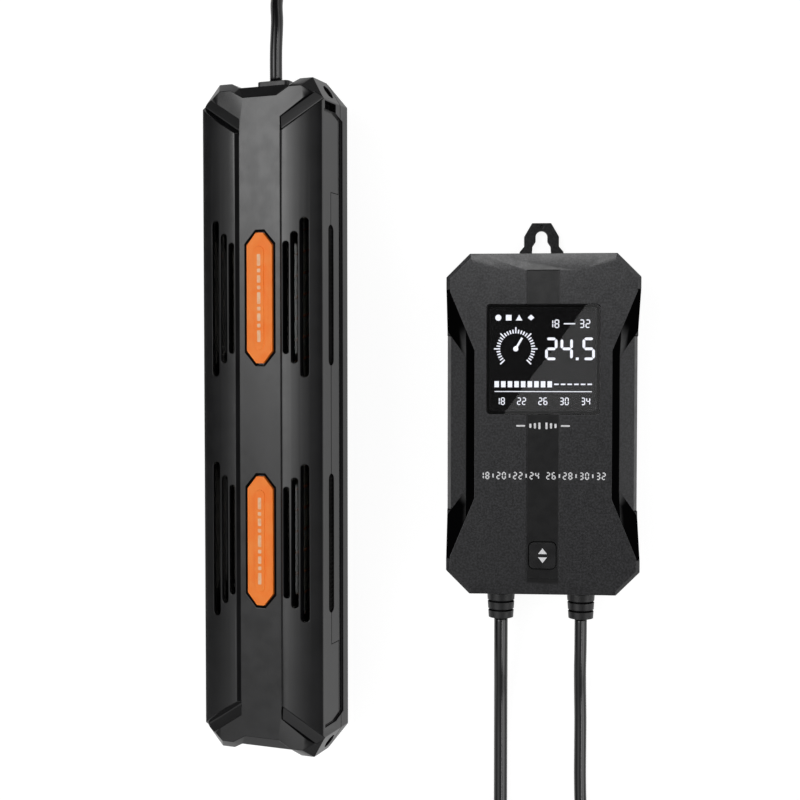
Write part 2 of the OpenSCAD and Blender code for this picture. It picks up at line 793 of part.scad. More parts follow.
// Ribs inside the side walls that close the view through the outer slots
module slot_ribs() {
    l = slot_lengths[2] + 2 * slot_rib_past;
    mirrored_x() for (y = [-1, 1])
        translate([cavity_x - slot_rib_t, y * badge_y - l / 2, ceiling_z - slot_rib_h])
            cube([slot_rib_t + cut, l, slot_rib_h + cut]);
}

module gland_bore() {
    translate([0, cavity_y, gland_z]) rotate([-90, 0, 0]) cylinder(tip_y, r = gland_r + snug);
}

module front_guard() {
    color([0.07, 0.07, 0.075]) on_heater() difference() {
        union() {
            difference() {
                front_solid();
                front_cavity();
            }
            front_bosses();
            slot_ribs();
        }
        mirrored_x() mirrored_y() end_groove();
        mirrored_x() side_panel();
        mirrored_x() side_slots();
        mirrored_x() wing_slots();
        mirrored_x() mirrored_y() corner_hole();
        mirrored_x() translate([side_x - slit[0], panel_y + loose, slit_z])
            cube([slit[0] + cut, slit[1], slit[2]]);
        for (y = [-1, 1]) translate([0, y * badge_y, strip_z - badge_recess])
            linear_extrude(badge_recess + cut) badge_shape(0);
        for (p = guard_screw_xy) translate([p[0], p[1], part_z - cut])
            cylinder(screw_grip + 2 * cut, r = screw_bore_r);
        gland_bore();
    }
}

// Silhouette of the guard, as wide as the side walls and as long as the horns
module guard_outline() {
    polygon([
        for (q = [[1, 1], [-1, 1], [-1, -1], [1, -1]])
            each let (
                run = [
                    [side_x, edge_y], [horn_out, tip_y], [horn_in, tip_y], [notch_back_x, notch_back_y]
                ]
            ) [for (i = q[0] * q[1] > 0 ? [0 : 3] : [3 : -1 : 0]) [q[0] * run[i][0], q[1] * run[i][1]]]
    ]);
}

// Section of the rear shell with rounded long edges
module back_section() {
    translate([-side_x, back_z + back_round]) square([guard_w, guard_depth]);
    translate([back_round - side_x, back_z]) square([guard_w - 2 * back_round, guard_depth]);
    for (x = [-1, 1]) translate([x * (side_x - back_round), back_z + back_round]) circle(back_round);
}

module rear_tongues() {
    low = back_z + guard_wall;
    mirrored_x() translate([cavity_x, -tongue_y, low]) cube([guard_wall, 2 * tongue_y, tongue_z - low]);
}

// Pocket that holds the ball of a suction cup, open to the back
module cup_pocket() {
    mouth = cup_tilt + asin(cup_neck_r / cup_ball_r) + 3;
    h = cup_ball_r + socket_wall;
    translate([0, 0, cup_ball_z]) sphere(socket_r);
    translate([0, 0, cup_ball_z - h]) cylinder(h, r1 = h * tan(mouth), r2 = 0);
}

module rear_guard() {
    floor_z = back_z + guard_wall;
    top_z = part_z - seam;
    color([0.08, 0.08, 0.085]) on_heater() difference() {
        union() {
            difference() {
                intersection() {
                    translate([0, 0, back_z]) linear_extrude(top_z - back_z) guard_outline();
                    along_y(2 * tip_y) back_section();
                    along_x(guard_w) polygon([
                        for (y = [1, -1]) each let (q = [[tip_y, part_z], [edge_y, back_z]])
                            [for (i = y > 0 ? [0, 1] : [1, 0]) [y * q[i][0], q[i][1]]]
                    ]);
                }
                translate([-cavity_x, -cavity_y, floor_z]) cube([2 * cavity_x, 2 * cavity_y, guard_depth]);
                mirrored_y() translate([-end_cavity[0], cavity_y + end_wall, floor_z])
                    cube([2 * end_cavity[0], end_cavity[1] - cavity_y - end_wall, guard_depth]);
            }
            rear_tongues();
            for (p = guard_screw_xy) translate([p[0], p[1], back_z + cut])
                cylinder(top_z - back_z - cut, r = screw_head_r + loose + 0.8);
            for (y = [-1, 1]) translate([0, y * cup_y, 0]) cup_socket(0);
        }
        mirrored_x() side_panel();
        mirrored_x() side_slots();
        for (y = [-1, 1]) translate([0, y * cup_y, 0]) cup_pocket();
        for (p = guard_screw_xy) translate([p[0], p[1], back_z - cut]) {
            cylinder(screw_head_t + screw_sink + cut, r = screw_head_r + loose);
            cylinder(guard_depth, r = screw_r + 1.5 * loose);
        }
        mirrored_x() for (i = [0 : len(slot_x) - 1], y = [-1, 1])
            translate([slot_x[i] - vent_shift, y * badge_y, back_z - cut])
                linear_extrude(guard_wall + 2 * cut)
                    round_slot(slot_widths[i], slot_lengths[len(slot_x) - 1 - i]);
        gland_bore();
    }
}

module badge(side) {
    color([0.93, 0.48, 0.17]) on_heater()
        translate([0, side * badge_y, strip_z - badge_recess]) {
            linear_extrude(badge_recess + badge_rise) badge_shape(badge_gap);
            translate([0, 0, badge_recess + badge_rise]) linear_extrude(badge_bar[2])
                round_slot(badge_bar[0], badge_bar[1]);
        }
}

module guard_screws() {
    color([0.6, 0.6, 0.62]) on_heater() for (p = guard_screw_xy)
        translate([p[0], p[1], back_z + screw_sink]) difference() {
            union() {
                cylinder(screw_head_t, r = screw_head_r);
                cylinder(part_z - back_z + screw_grip - cut, r = screw_r);
            }
            translate([0, 0, -cut]) cylinder(cut + screw_head_t / 2, r = screw_head_r / 2, $fn = 6);
        }
}

// ---- Inside the guard ----
module on_tube(side) {
    on_heater() translate([side * tube_pitch / 2, 0, tube_z]) children();
}

// Tube drawn along y, closed and round at its lower end
module quartz_tube(side) {
    color([0.85, 0.85, 0.82, 0.4]) on_tube(side) translate([0, tube_low_y + tube_r, 0])
        rotate([-90, 0, 0]) difference() {
            union() {
                cylinder(tube_l - tube_r, r = tube_r);
                sphere(tube_r);
            }
            cylinder(tube_l, r = tube_bore_r);
            sphere(tube_bore_r);
        }
}

module ceramic_core(side) {
    color([0.9, 0.88, 0.83]) on_tube(side) translate([0, tube_top_y - stopper_l - loose, 0])
        rotate([90, 0, 0]) cylinder(tube_l - stopper_l - tube_r, d = core_d);
}

// Wire wound round the core from the top down
module heating_wire(side) {
    curls = winding_l / winding_pitch;
    r = (core_d / 2 + wire_d / 2 + snug) / cos(180 / curl_rings);
    color([0.72, 0.45, 0.3]) on_tube(side) tube_along([
        for (i = [0 : curls * curl_rings]) let (a = i * 360 / curl_rings)
            [r * cos(a), winding_y - winding_pitch * i / curl_rings, r * sin(a)]
    ], wire_d, coil_sides);
}

module tube_stopper(side) {
    color([0.35, 0.35, 0.36]) on_tube(side) translate([0, tube_top_y, 0]) rotate([90, 0, 0])
        difference() {
            union() {
                cylinder(stopper_l - snug, r = tube_bore_r - snug);
                translate([0, 0, -stopper_lip]) cylinder(stopper_lip, r = tube_r - tube_wall / 2);
            }
            for (x = [-1, 1]) translate([x * core_d / 3, 0, -stopper_lip - cut])
                cylinder(stopper_l + stopper_lip + 2 * cut, r = wire_d / 2 + snug);
        }
}

// Housing of the ball of a suction cup, grown by a gap where it is cut from a neighbour
module cup_socket(gap) {
    low = back_z + cut;
    translate([0, 0, low]) cylinder(cup_ball_z + socket_r + gap - low, r = socket_r + socket_wall + gap);
}

module cap_section(r) {
    for (x = [-1, 1]) translate([x * tube_pitch / 2, tube_z]) circle(r);
    translate([-tube_pitch / 2, tube_z - cap_bridge_t / 2]) square([tube_pitch, cap_bridge_t]);
}

// Block that holds the open ends of both tubes
module top_cap() {
    seat_l = tube_top_y - cap_y + cut;
    color([0.12, 0.12, 0.13]) on_heater() difference() {
        translate([0, cap_y + cap_l / 2, 0]) along_y(cap_l) cap_section(cap_r);
        for (x = [-1, 1]) translate([x * tube_pitch / 2, cap_y - cut, tube_z]) rotate([-90, 0, 0]) {
            cylinder(seat_l + seam, r = tube_r + snug);
            cylinder(seat_l + stopper_lip + 2 * snug, r = tube_r - tube_wall / 2 + 2 * snug);
        }
        translate([0, cap_y - cut, tube_z]) rotate([-90, 0, 0])
            cylinder(probe_seat + snug + cut, d = probe_d + 2 * snug);
        translate([0, cup_y, 0]) cup_socket(loose);
    }
}

// Cradle under the closed ends of both tubes
module bottom_cap() {
    low_y = tube_low_y - cradle_floor;
    color([0.12, 0.12, 0.13]) on_heater() difference() {
        translate([0, low_y + cradle_l / 2, 0]) along_y(cradle_l) cap_section(cap_r);
        for (x = [-1, 1]) translate([x * tube_pitch / 2, tube_low_y + tube_r, tube_z])
            rotate([-90, 0, 0]) {
                sphere(tube_r + snug);
                cylinder(cradle_l, r = tube_r + snug);
            }
        for (x = [-1, 1]) translate([x * tube_pitch / 2, low_y - cut, tube_z]) rotate([-90, 0, 0])
            cylinder(cradle_floor, r = cradle_floor / 2);
        translate([0, -cup_y, 0]) cup_socket(loose);
    }
}

module temperature_probe() {
    color([0.75, 0.75, 0.77]) on_heater() translate([0, cap_y + probe_seat - snug, tube_z])
        rotate([90, 0, 0]) {
            cylinder(probe_l, d = probe_d);
            translate([0, 0, probe_l]) sphere(d = probe_d);
        }
}

module thermal_fuse() {
    color([0.8, 0.8, 0.78]) on_heater()
        translate([0, cap_y - fuse_wire_l, tube_z - probe_d / 2 - fuse_d / 2 - snug]) rotate([90, 0, 0]) {
            cylinder(fuse_l, d = fuse_d);
            translate([0, 0, seam - fuse_wire_l]) cylinder(fuse_l + 2 * fuse_wire_l, d = wire_d);
        }
}

module lead_gland() {
    color([0.1, 0.1, 0.105]) on_heater() translate([0, 0, gland_z]) rotate([-90, 0, 0]) {
        translate([0, 0, gland_low_y]) cylinder(notch_back_y - gland_low_y + cut, r = gland_r);
        translate([0, 0, notch_back_y + seam]) linear_extrude(gland_top_y - notch_back_y - seam)
            round_rect(gland_collar[0], gland_collar[1], gland_collar[2]);
    }
}

// Suction cup standing flat on the table, with its ball in the rear shell
module suction_cup(side) {
    rim = cup_d / 2;
    neck_z = cup_h - cup_ball_r * 0.7;
    color([0.16, 0.16, 0.17, 0.9]) translate([cup_ball_x, heater_y + side * cup_y, 0]) {
        rotate_extrude($fn = 72) polygon([
            [0, cup_hollow], [rim * 0.35, cup_hollow * 0.9], [rim * 0.7, cup_hollow * 0.5],
            [rim - cup_lip, 0], [rim, 0], [rim, cup_rim_t], [rim * 0.75, cup_rim_t + cup_wall],
            [rim * 0.45, cup_hollow + cup_wall], [cup_neck_r + 1.2, cup_hollow + 1.5 * cup_wall],
            [cup_neck_r, cup_hollow + 2.4 * cup_wall],
            [cup_neck_r, neck_z], [0, neck_z]
        ]);
        translate([0, 0, cup_h]) sphere(cup_ball_r);
    }
}

// ---- Controller case ----
// Recess along one long side for the fingers, with slanted ends
module grip_recess() {
    x_far = case_w / 2 + 5;
    x_edge = case_w / 2 - case_bevel;
    top = face_z + seam;
    low_y = grip_low_y + (x_edge - grip_out_x) * grip_floor_slant;
    convex([
        for (s = [1, -1]) each [
            [grip_in_x, s * grip_y, top], [x_far, s * (grip_y + (x_far - grip_in_x) * grip_slant), top],
            [grip_out_x, s * grip_low_y, grip_floor_z],
            [x_far, s * (grip_low_y + (x_far - grip_out_x) * grip_floor_slant), grip_floor(x_far)]
        ]
    ]);
    translate([x_edge, 0, grip_floor(x_edge)]) along_y(2 * low_y) polygon([
        [0, 0], [case_bevel, -ledge_fall], [case_bevel + cut, -ledge_fall], [case_bevel + cut, cut]
    ]);
}

// Wide facet that slopes to one end of the front face
module end_facet() {
    y_far = case_l / 2 + 3;
    top = face_z + 3;
    convex([
        for (s = [-1, 1]) each [
            [s * facet_x[0], facet_y[0], face_z + 0.02], [s * facet_x[1], facet_y[1], face_z + 0.02],
            [s * facet_x[2], y_far, face_z - facet_fall], [s * facet_x[2], y_far, top],
            [s * facet_x[0], facet_y[0], top]
        ]
    ]);
}

module at_case_bosses() {
    for (x = [-1, 1], y = [-1, 1]) translate([x * cover_boss_xy[0], y * cover_boss_xy[1], 0]) children();
}

module at_display_posts() {
    for (x = [-1, 1], y = display_post_y) translate([x * display_post_x, y, 0]) children();
}

module at_main_posts() {
    for (x = [-1, 1], y = [-1, 1]) translate([x * main_post[0], y * main_post[1], 0]) children();
}

module relief_holes(r) {
    for (x = [-1, 1]) translate([x * relief_x, 1 - inner_y, rear_h]) rotate([90, 0, 0])
        cylinder(2 * case_wall, r = r);
}

module front_cover_shell() {
    low = rear_h + seam;
    difference() {
        hull() {
            translate([0, 0, low]) linear_extrude(face_z - case_bevel - low)
                octagon(case_w, case_l, case_chamfer);
            translate([0, 0, face_z - 0.02]) linear_extrude(0.02)
                octagon(case_w - 2 * case_bevel, case_l - 2 * case_bevel, case_chamfer - 0.6 * case_bevel);
        }
        translate([0, 0, low - cut]) linear_extrude(shelf_z - low + cut)
            octagon(case_w - 2 * case_wall, case_l - 2 * case_wall, case_chamfer - 0.6 * case_wall);
        translate([-inner_x, -inner_y, low - cut]) cube([2 * inner_x, 2 * inner_y, inner_z - low + cut]);
        mirrored_x() grip_recess();
    }
}

module controller_front_cover() {
    lens = window_t + window_sink;
    opening_w = button_w + 2 * button_clear;
    color([0.2, 0.2, 0.215]) on_case() difference() {
        union() {
            front_cover_shell();
            at_case_bosses() translate([0, 0, rear_h + seam])
                cylinder(inner_z + cut / 2 - rear_h - seam, r = cover_boss_r);
            at_display_posts() translate([0, 0, display_top_z])
                cylinder(inner_z - display_top_z + cut / 2, r = post_r);
        }
        // Window with a ledge under the lens
        translate([0, window_at_y, face_z - lens]) linear_extrude(lens + cut)
            round_rect(window_w + 2 * snug, window_l + 2 * snug, window_round + snug);
        translate([0, window_at_y, inner_z - cut]) linear_extrude(case_wall + cut)
            round_rect(window_w - 2 * window_ledge, window_l - 2 * window_ledge, 1);
        // Opening of the button
        translate([0, button_at_y, inner_z - cut]) linear_extrude(case_wall + 2 * cut)
            round_rect(opening_w, opening_w, button_round + button_clear);
        mirrored_y() end_facet();
        // Shallow band down the middle of the front face
        translate([-band_w / 2, -band_y, face_z - band_sink]) cube([band_w, 2 * band_y, cut]);
        relief_holes(relief_in_r + seam);
        at_case_bosses() translate([0, 0, rear_h - cut])
            cylinder(cover_screw_grip + 2 * cut, r = screw_bore_r);
        at_display_posts() translate([0, 0, display_top_z - cut])
            cylinder(board_screw_l, r = board_screw_r + snug);
    }
}

// Tab with a keyhole at the top of the rear cover
module hanging_tab() {
    top = case_l / 2 + tab_l;
    difference() {
        linear_extrude(tab_t) polygon([
            [tab_tip, top], [-tab_tip, top], [-tab_w / 2, top - 6], [-tab_w / 2, top - 10.4],
            [-tab_w / 2 - tab_foot, top - 12.7], [-tab_w / 2 - tab_foot, inner_y],
            [tab_w / 2 + tab_foot, inner_y], [tab_w / 2 + tab_foot, top - 12.7],
            [tab_w / 2, top - 10.4], [tab_w / 2, top - 6]
        ]);
        translate([0, 0, -cut]) linear_extrude(tab_t + 2 * cut) {
            translate([0, tab_hole_y]) circle(d = keyhole_w);
            polygon([
                for (s = [1, -1]) each let (q = [
                    [keyhole_w / 2, tab_hole_y], [keyhole_w / 2, tab_hole_y - 2.2],
                    [keyhole_w / 2 + keyhole_flare, tab_hole_y - 4.3],
                    [keyhole_w / 2 + 1.2 * keyhole_flare, case_l / 2 + 0.6]
                ]) [for (i = s > 0 ? [0 : 3] : [3 : -1 : 0]) [s * q[i][0], q[i][1]]]
            ]);
        }
        translate([0, top - 2 * tab_dimple, tab_t - tab_dimple]) cylinder(2 * tab_dimple, r = tab_dimple);
    }
}

module gasket_shape(w) {
    mid = case_wall / 2;
    difference() {
        octagon(case_w - 2 * mid + w, case_l - 2 * mid + w, case_chamfer - 0.6 * mid);
        octagon(case_w - 2 * mid - w, case_l - 2 * mid - w, case_chamfer - 0.6 * mid);
    }
}

module controller_rear_cover() {
    color([0.17, 0.17, 0.18]) on_case() difference() {
        union() {
            difference() {
                linear_extrude(rear_h) octagon(case_w, case_l, case_chamfer);
                translate([0, 0, case_wall]) linear_extrude(rear_h)
                    octagon(case_w - 2 * case_wall, case_l - 2 * case_wall, case_chamfer - 0.6 * case_wall);
            }
            hanging_tab();
            at_case_bosses() translate([0, 0, cut]) cylinder(rear_h - cut, r = rear_boss_r);
            at_main_posts() translate([0, 0, cut]) cylinder(main_board_z - cut, r = post_r);
        }
        translate([0, 0, rear_h - gasket_t + 2 * snug]) linear_extrude(2) gasket_shape(gasket_w + snug);
        relief_holes(relief_in_r + seam);
        at_case_bosses() translate([0, 0, -cut]) {
            cylinder(screw_head_t + screw_sink + cut, r = screw_head_r + loose);
            cylinder(case_h, r = screw_r + loose);
        }
        at_main_posts() translate([0, 0, case_wall]) cylinder(rear_h, r = board_screw_r + snug);
    }
}

module cover_gasket() {
    color([0.3, 0.3, 0.3]) on_case() difference() {
        translate([0, 0, rear_h - gasket_t + 2 * snug]) linear_extrude(gasket_t - snug)
            gasket_shape(gasket_w);
        relief_holes(relief_in_r + 2 * loose);
    }
}

module display_window() {
    color([0.02, 0.02, 0.03, 0.6]) on_case() translate([0, window_at_y, face_z - window_sink - window_t])
        linear_extrude(window_t) round_rect(window_w, window_l, window_round);
}

module lcd_panel() {
    color([0.1, 0.12, 0.15]) on_case() translate([0, window_at_y, inner_z - lcd_t / 2 - snug])
        cube([window_w - lcd_inset, window_l - lcd_inset, lcd_t], center = true);
}

// Tray with the backlight, from the display board up to the panel
module lcd_tray() {
    top = inner_z - lcd_t - 2 * snug;
    w = window_w - lcd_inset;
    l = window_l - lcd_inset;
    color([0.9, 0.9, 0.88]) on_case() difference() {
        translate([0, window_at_y, (display_top_z + top) / 2])
            cube([w, l, top - display_top_z], center = true);
        translate([0, window_at_y, top])
            cube([w - 2 * tray_wall, l - 2 * tray_wall, 2 * tray_wall], center = true);
    }
}

module display_board() {
    color([0.05, 0.3, 0.15]) on_case() difference() {
        translate([-board_w / 2, -board_l / 2, display_board_z]) cube([board_w, board_l, board_t - snug]);
        at_display_posts() translate([0, 0, display_board_z - cut])
            cylinder(board_t + 2 * cut, r = board_hole_r);
    }
}

module main_board() {
    color([0.05, 0.35, 0.2]) on_case() difference() {
        translate([-board_w / 2, -board_l / 2, main_board_z]) cube([board_w, board_l, board_t]);
        at_main_posts() cylinder(case_h, r = board_hole_r);
    }
}

module board_connector() {
    color([0.1, 0.1, 0.1]) on_case() translate(connector_at)
        cube([connector_size[0], connector_size[1], display_board_z - main_top_z]);
}

module set_button() {
    color([0.16, 0.16, 0.17]) on_case() translate([0, button_at_y, 0]) {
        translate([0, 0, button_low_z]) linear_extrude(face_z + button_rise - button_low_z)
            round_rect(button_w, button_w, button_round);
        translate([0, 0, inner_z - flange_t - snug]) linear_extrude(flange_t)
            round_rect(button_w + 2 * button_flange, button_w + 2 * button_flange, button_round);
    }
}

module tact_switch() {
    color([0.3, 0.3, 0.32]) on_case() translate([0, button_at_y, display_top_z]) {
        translate([-tact_w / 2, -tact_w / 2, 0]) cube([tact_w, tact_w, tact_h]);
        cylinder(button_low_z - button_travel - snug - display_top_z, r = tact_stem_r);
    }
}

module relay() {
    color([0.1, 0.3, 0.6]) on_case() translate(relay_at) cube(relay_size);
}

module power_module() {
    color([0.75, 0.65, 0.2]) on_case() translate(power_at) {
        cube(power_base);
        translate([power_inset, power_inset, power_base[2]]) cube(power_top);
    }
}

module capacitor() {
    color([0.1, 0.1, 0.3]) on_case() translate(capacitor_at) cylinder(capacitor_h, r = capacitor_r);
}

module mains_fuse() {
    color([0.85, 0.85, 0.85]) on_case() translate([fuse_at[0], fuse_at[1], main_top_z + fuse_lift]) {
        rotate([90, 0, 0]) cylinder(fuse_tube_l, r = fuse_tube_r, center = true);
        for (y = [-1, 1]) translate([-fuse_clip / 2, (y * fuse_clip_pitch - fuse_clip) / 2, -fuse_lift])
            cube([fuse_clip, fuse_clip, fuse_clip]);
    }
}

module terminal_block() {
    pitch = terminal_size[0] / terminals;
    color([0.1, 0.45, 0.2]) on_case() translate([-terminal_size[0] / 2, terminal_y, main_top_z])
        difference() {
            cube(terminal_size);
            for (i = [0 : terminals - 1])
                translate([(i + 0.5) * pitch, terminal_size[1] / 2, terminal_size[2] - terminal_screw[1]])
                    cylinder(terminal_screw[1] + cut, r = terminal_screw[0]);
        }
}

module buzzer() {
    color([0.08, 0.08, 0.08]) on_case() translate(buzzer_at) difference() {
        cylinder(buzzer_h, r = buzzer_r);
        translate([0, 0, buzzer_h - buzzer_port]) cylinder(buzzer_port + cut, r = buzzer_port);
    }
}

// Ribbed relief with a flange inside the case
module cord_relief(side) {
    ribs_z = case_wall + relief_out - ribs * rib_l - (ribs - 1) * rib_gap;
    color([0.13, 0.13, 0.14]) on_case() translate([side * relief_x, -inner_y, rear_h]) rotate([90, 0, 0]) {
        translate([0, 0, -relief_flange_t - snug]) cylinder(relief_flange_t, r = relief_flange_r);
        translate([0, 0, -relief_tail_l]) cylinder(relief_tail_l, r = relief_r - 1);
        translate([0, 0, -2 * snug]) cylinder(case_wall + 4 * snug, r = relief_in_r);
        translate([0, 0, case_wall + seam])
            cylinder(relief_out - seam, r1 = relief_r, r2 = relief_r - rib_rise);
        for (i = [0 : ribs - 1]) let (r = relief_r + rib_rise - rib_fall * i)
            translate([0, 0, ribs_z + i * (rib_l + rib_gap)])
                cylinder(rib_l, r1 = r, r2 = r - 0.8 * rib_fall);
    }
}

// Insulated cores of both leads, from the reliefs to the terminal block
module lead_tails() {
    y = relief_tail_l - inner_y;
    color([0.5, 0.25, 0.12]) on_case() for (side = [-1, 1], in = [0, tail_pitch])
        translate([side * (relief_x - in), y, rear_h]) rotate([-90, 0, 0])
            cylinder(terminal_y - y, r = tail_r);
}

module case_screw(shank_r, shank_l, head_r, head_t) {
    cylinder(head_t, r = head_r);
    cylinder(shank_l, r = shank_r);
}

module cover_screws() {
    color([0.62, 0.62, 0.64]) on_case() at_case_bosses() translate([0, 0, screw_sink])
        case_screw(screw_r, rear_h + cover_screw_grip, screw_head_r, screw_head_t);
}

module board_screw() {
    case_screw(board_screw_r, board_screw_l, board_screw_head[0], board_screw_head[1]);
}

module board_screws() {
    color([0.7, 0.7, 0.72]) on_case() {
        at_display_posts() translate([0, 0, display_board_z - board_screw_head[1]]) board_screw();
        at_main_posts() translate([0, 0, main_top_z + board_screw_head[1]]) mirror([0, 0, 1]) board_screw();
    }
}

// ---- Leads, coils and ties ----
module lead_colour() {
    color([0.05, 0.05, 0.055]) children();
}

module heater_lead_top() {
    lead_colour() tube_along(heater_top_route, heater_lead_d, lead_sides);
}

module heater_lead_coil() {
    lead_colour() tube_along(heater_coil_points, heater_lead_d, coil_sides);
}

module heater_lead_end() {
    lead_colour() tube_along(heater_end_route, heater_lead_d, lead_sides);
}

module mains_lead_start() {
    lead_colour() tube_along(mains_start_route, mains_lead_d, lead_sides);
}

module mains_lead_coil() {
    lead_colour() tube_along(mains_coil_points, mains_lead_d, coil_sides);
}

module mains_lead_end() {
    lead_colour() tube_along(mains_end_route, mains_lead_d, lead_sides);
}

// Band round all turns of a coil, where both layers lie at the same radii
module coil_tie(at, r_mid, d, turns) {
    s = (turns - floor(turns)) / 2;
    high_r = coil_radius(s, r_mid, d, turns) + d / 2 + tie_slack;
    low_r = coil_radius(s + floor(coil_turn_in(turns) - s), r_mid, d, turns) - d / 2 - tie_slack;
    h = coil_pitch(d) + d + 2 * tie_gap;
    color([0.11, 0.11, 0.12]) translate([at[0], at[1], 0]) rotate([0, 0, -360 * s])
        translate([(high_r + low_r) / 2, 0, tie_t + h / 2]) along_y(tie_w) difference() {
            square([high_r - low_r + 2 * tie_t, h + 2 * tie_t], center = true);
            square([high_r - low_r, h], center = true);
        }
}

module heater_lead_tie() {
    coil_tie(heater_coil_at, heater_coil_r, heater_lead_d, heater_coil_turns);
}

module mains_lead_tie() {
    coil_tie(mains_coil_at, mains_coil_r, mains_lead_d, mains_coil_turns);
}

// ---- Mains plug ----
module plug_section(y, w, t) {
    translate([-w / 2, -y - 0.02, -t / 2]) cube([w, 0.02, t]);
}

module plug_body() {
    color([0.07, 0.07, 0.075]) translate(plug_at - [0, plug_relief_l, 0]) {
        hull() {
            plug_section(0, plug_neck_w - 2, plug_t - 4);
            plug_section(3, plug_neck_w, plug_t - 1);
            plug_section(plug_l - plug_face_l, plug_w, plug_t);
            plug_section(plug_l - 1.5, plug_w, plug_t);
            plug_section(plug_l - 0.02, plug_w - 2.4, plug_t - 2.4);
        }
    }
}

module plug_relief() {
    rib = (plug_relief_l - 4) / (2 * plug_ribs);
    core_r = mains_lead_d / 2 + plug_relief_wall;
    color([0.07, 0.07, 0.075]) translate(plug_at) rotate([90, 0, 0]) {
        cylinder(plug_relief_l, r1 = core_r, r2 = core_r + plug_relief_wall);
        for (i = [0 : plug_ribs - 1]) translate([0, 0, (2 * i + 1) * rib])
            cylinder(rib, r = core_r + plug_relief_wall + 0.2 * (i - 0.5));
    }
}

module plug_pins() {
    color([0.8, 0.8, 0.78]) for (x = [-1, 1])
        translate(plug_at + [x * pin_pitch / 2, -plug_relief_l - plug_l, 0]) rotate([90, 0, 0]) {
            cylinder(pin_l - pin_tip, d = pin_d);
            translate([0, 0, pin_l - pin_tip]) cylinder(pin_tip, d1 = pin_d, d2 = pin_d - 1.4 * pin_tip);
        }
}

front_guard();
rear_guard();
badge(1);  // upper_badge
badge(-1);  // lower_badge
quartz_tube(-1);  // left_quartz_tube
quartz_tube(1);  // right_quartz_tube
ceramic_core(-1);  // left_ceramic_core
ceramic_core(1);  // right_ceramic_core
heating_wire(-1);  // left_heating_wire
heating_wire(1);  // right_heating_wire
tube_stopper(-1);  // left_tube_stopper
tube_stopper(1);  // right_tube_stopper
top_cap();
bottom_cap();
temperature_probe();
thermal_fuse();
lead_gland();
guard_screws();
suction_cup(1);  // upper_suction_cup
suction_cup(-1);  // lower_suction_cup
controller_front_cover();
controller_rear_cover();
cover_gasket();
display_window();
lcd_panel();
lcd_tray();
display_board();
main_board();
board_connector();
set_button();
tact_switch();
relay();
power_module();
capacitor();
mains_fuse();
terminal_block();
buzzer();
cord_relief(-1);  // left_cord_relief
cord_relief(1);  // right_cord_relief
lead_tails();
cover_screws();
board_screws();
heater_lead_top();
heater_lead_coil();
heater_lead_end();
heater_lead_tie();
mains_lead_start();
mains_lead_coil();
mains_lead_end();
mains_lead_tie();
plug_body();
plug_relief();
plug_pins();
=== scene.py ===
"""Looks of a submersible aquarium heater with its wired temperature controller."""

import json
import math

import bmesh
import bpy
from mathutils import Matrix, Vector

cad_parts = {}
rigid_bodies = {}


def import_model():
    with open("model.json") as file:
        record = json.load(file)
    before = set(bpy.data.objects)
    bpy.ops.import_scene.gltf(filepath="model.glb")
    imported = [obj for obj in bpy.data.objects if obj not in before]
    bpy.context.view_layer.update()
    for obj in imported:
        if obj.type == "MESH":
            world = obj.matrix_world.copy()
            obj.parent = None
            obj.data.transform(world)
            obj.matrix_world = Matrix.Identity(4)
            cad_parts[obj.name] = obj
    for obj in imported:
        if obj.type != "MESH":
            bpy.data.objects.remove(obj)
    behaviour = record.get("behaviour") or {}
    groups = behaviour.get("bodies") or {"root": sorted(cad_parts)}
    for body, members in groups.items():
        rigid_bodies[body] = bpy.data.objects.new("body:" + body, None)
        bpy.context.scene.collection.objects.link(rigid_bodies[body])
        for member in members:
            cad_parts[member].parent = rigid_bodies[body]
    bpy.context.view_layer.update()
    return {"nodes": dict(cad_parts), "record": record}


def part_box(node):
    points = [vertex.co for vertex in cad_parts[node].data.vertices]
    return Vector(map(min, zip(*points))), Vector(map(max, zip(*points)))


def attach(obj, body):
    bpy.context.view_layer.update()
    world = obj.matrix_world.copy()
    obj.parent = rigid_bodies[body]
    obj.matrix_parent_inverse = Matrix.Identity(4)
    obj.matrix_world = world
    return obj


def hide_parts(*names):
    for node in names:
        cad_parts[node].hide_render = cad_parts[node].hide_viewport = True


MM = 0.001
BODY = "heater_and_controller"

for old in list(bpy.data.objects):
    bpy.data.objects.remove(old)
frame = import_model()
nodes = frame["nodes"]
scene = bpy.context.scene


# ---- Sizes and places, in millimetres, from the frame or the same as the CAD's ----
def middle_and_top(node):
    """A node's middle over the table, and the height of its top."""
    low, high = (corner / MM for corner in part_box(node))
    return Vector(((low.x + high.x) / 2, (low.y + high.y) / 2, 0)), high.z


# Heater: its middle, and how far it is rolled to the left
HEATER_AT = Vector((-63.15, -0.65, 21.9))
HEATER_ROLL = math.radians(17)
HEATER = Matrix.Translation(HEATER_AT) @ Matrix.Rotation(-HEATER_ROLL, 4, "Y")

# Badges on the front strip, and slots in the side walls, from the heater's middle
STRIP_TOP, BADGE_TOP = 14.4, 15.4
BADGE_Y = 52
BADGE_HALF_W, BADGE_HALF_L = 7.25, 29
BADGE_HALF_TIP, BADGE_SLOPE = 2.15, 5.8
SIDE_SLOT_Y, SIDE_SLOT_Z = 53.3, 1.5
SIDE_SLOT_W = 5

# Controller: its middle on the table, and heights over the table
CASE_AT, FACE_TOP = middle_and_top("controller_front_cover")
BUTTON_AT, BUTTON_TOP = middle_and_top("set_button")
PANEL_TOP = middle_and_top("lcd_panel")[1]
BAND_TOP, BAND_HALF_W = FACE_TOP - 0.25, 6.65
DISPLAY_AT = CASE_AT + Vector((0.05, 27.75, 0))
CASE = Matrix.Translation(CASE_AT)

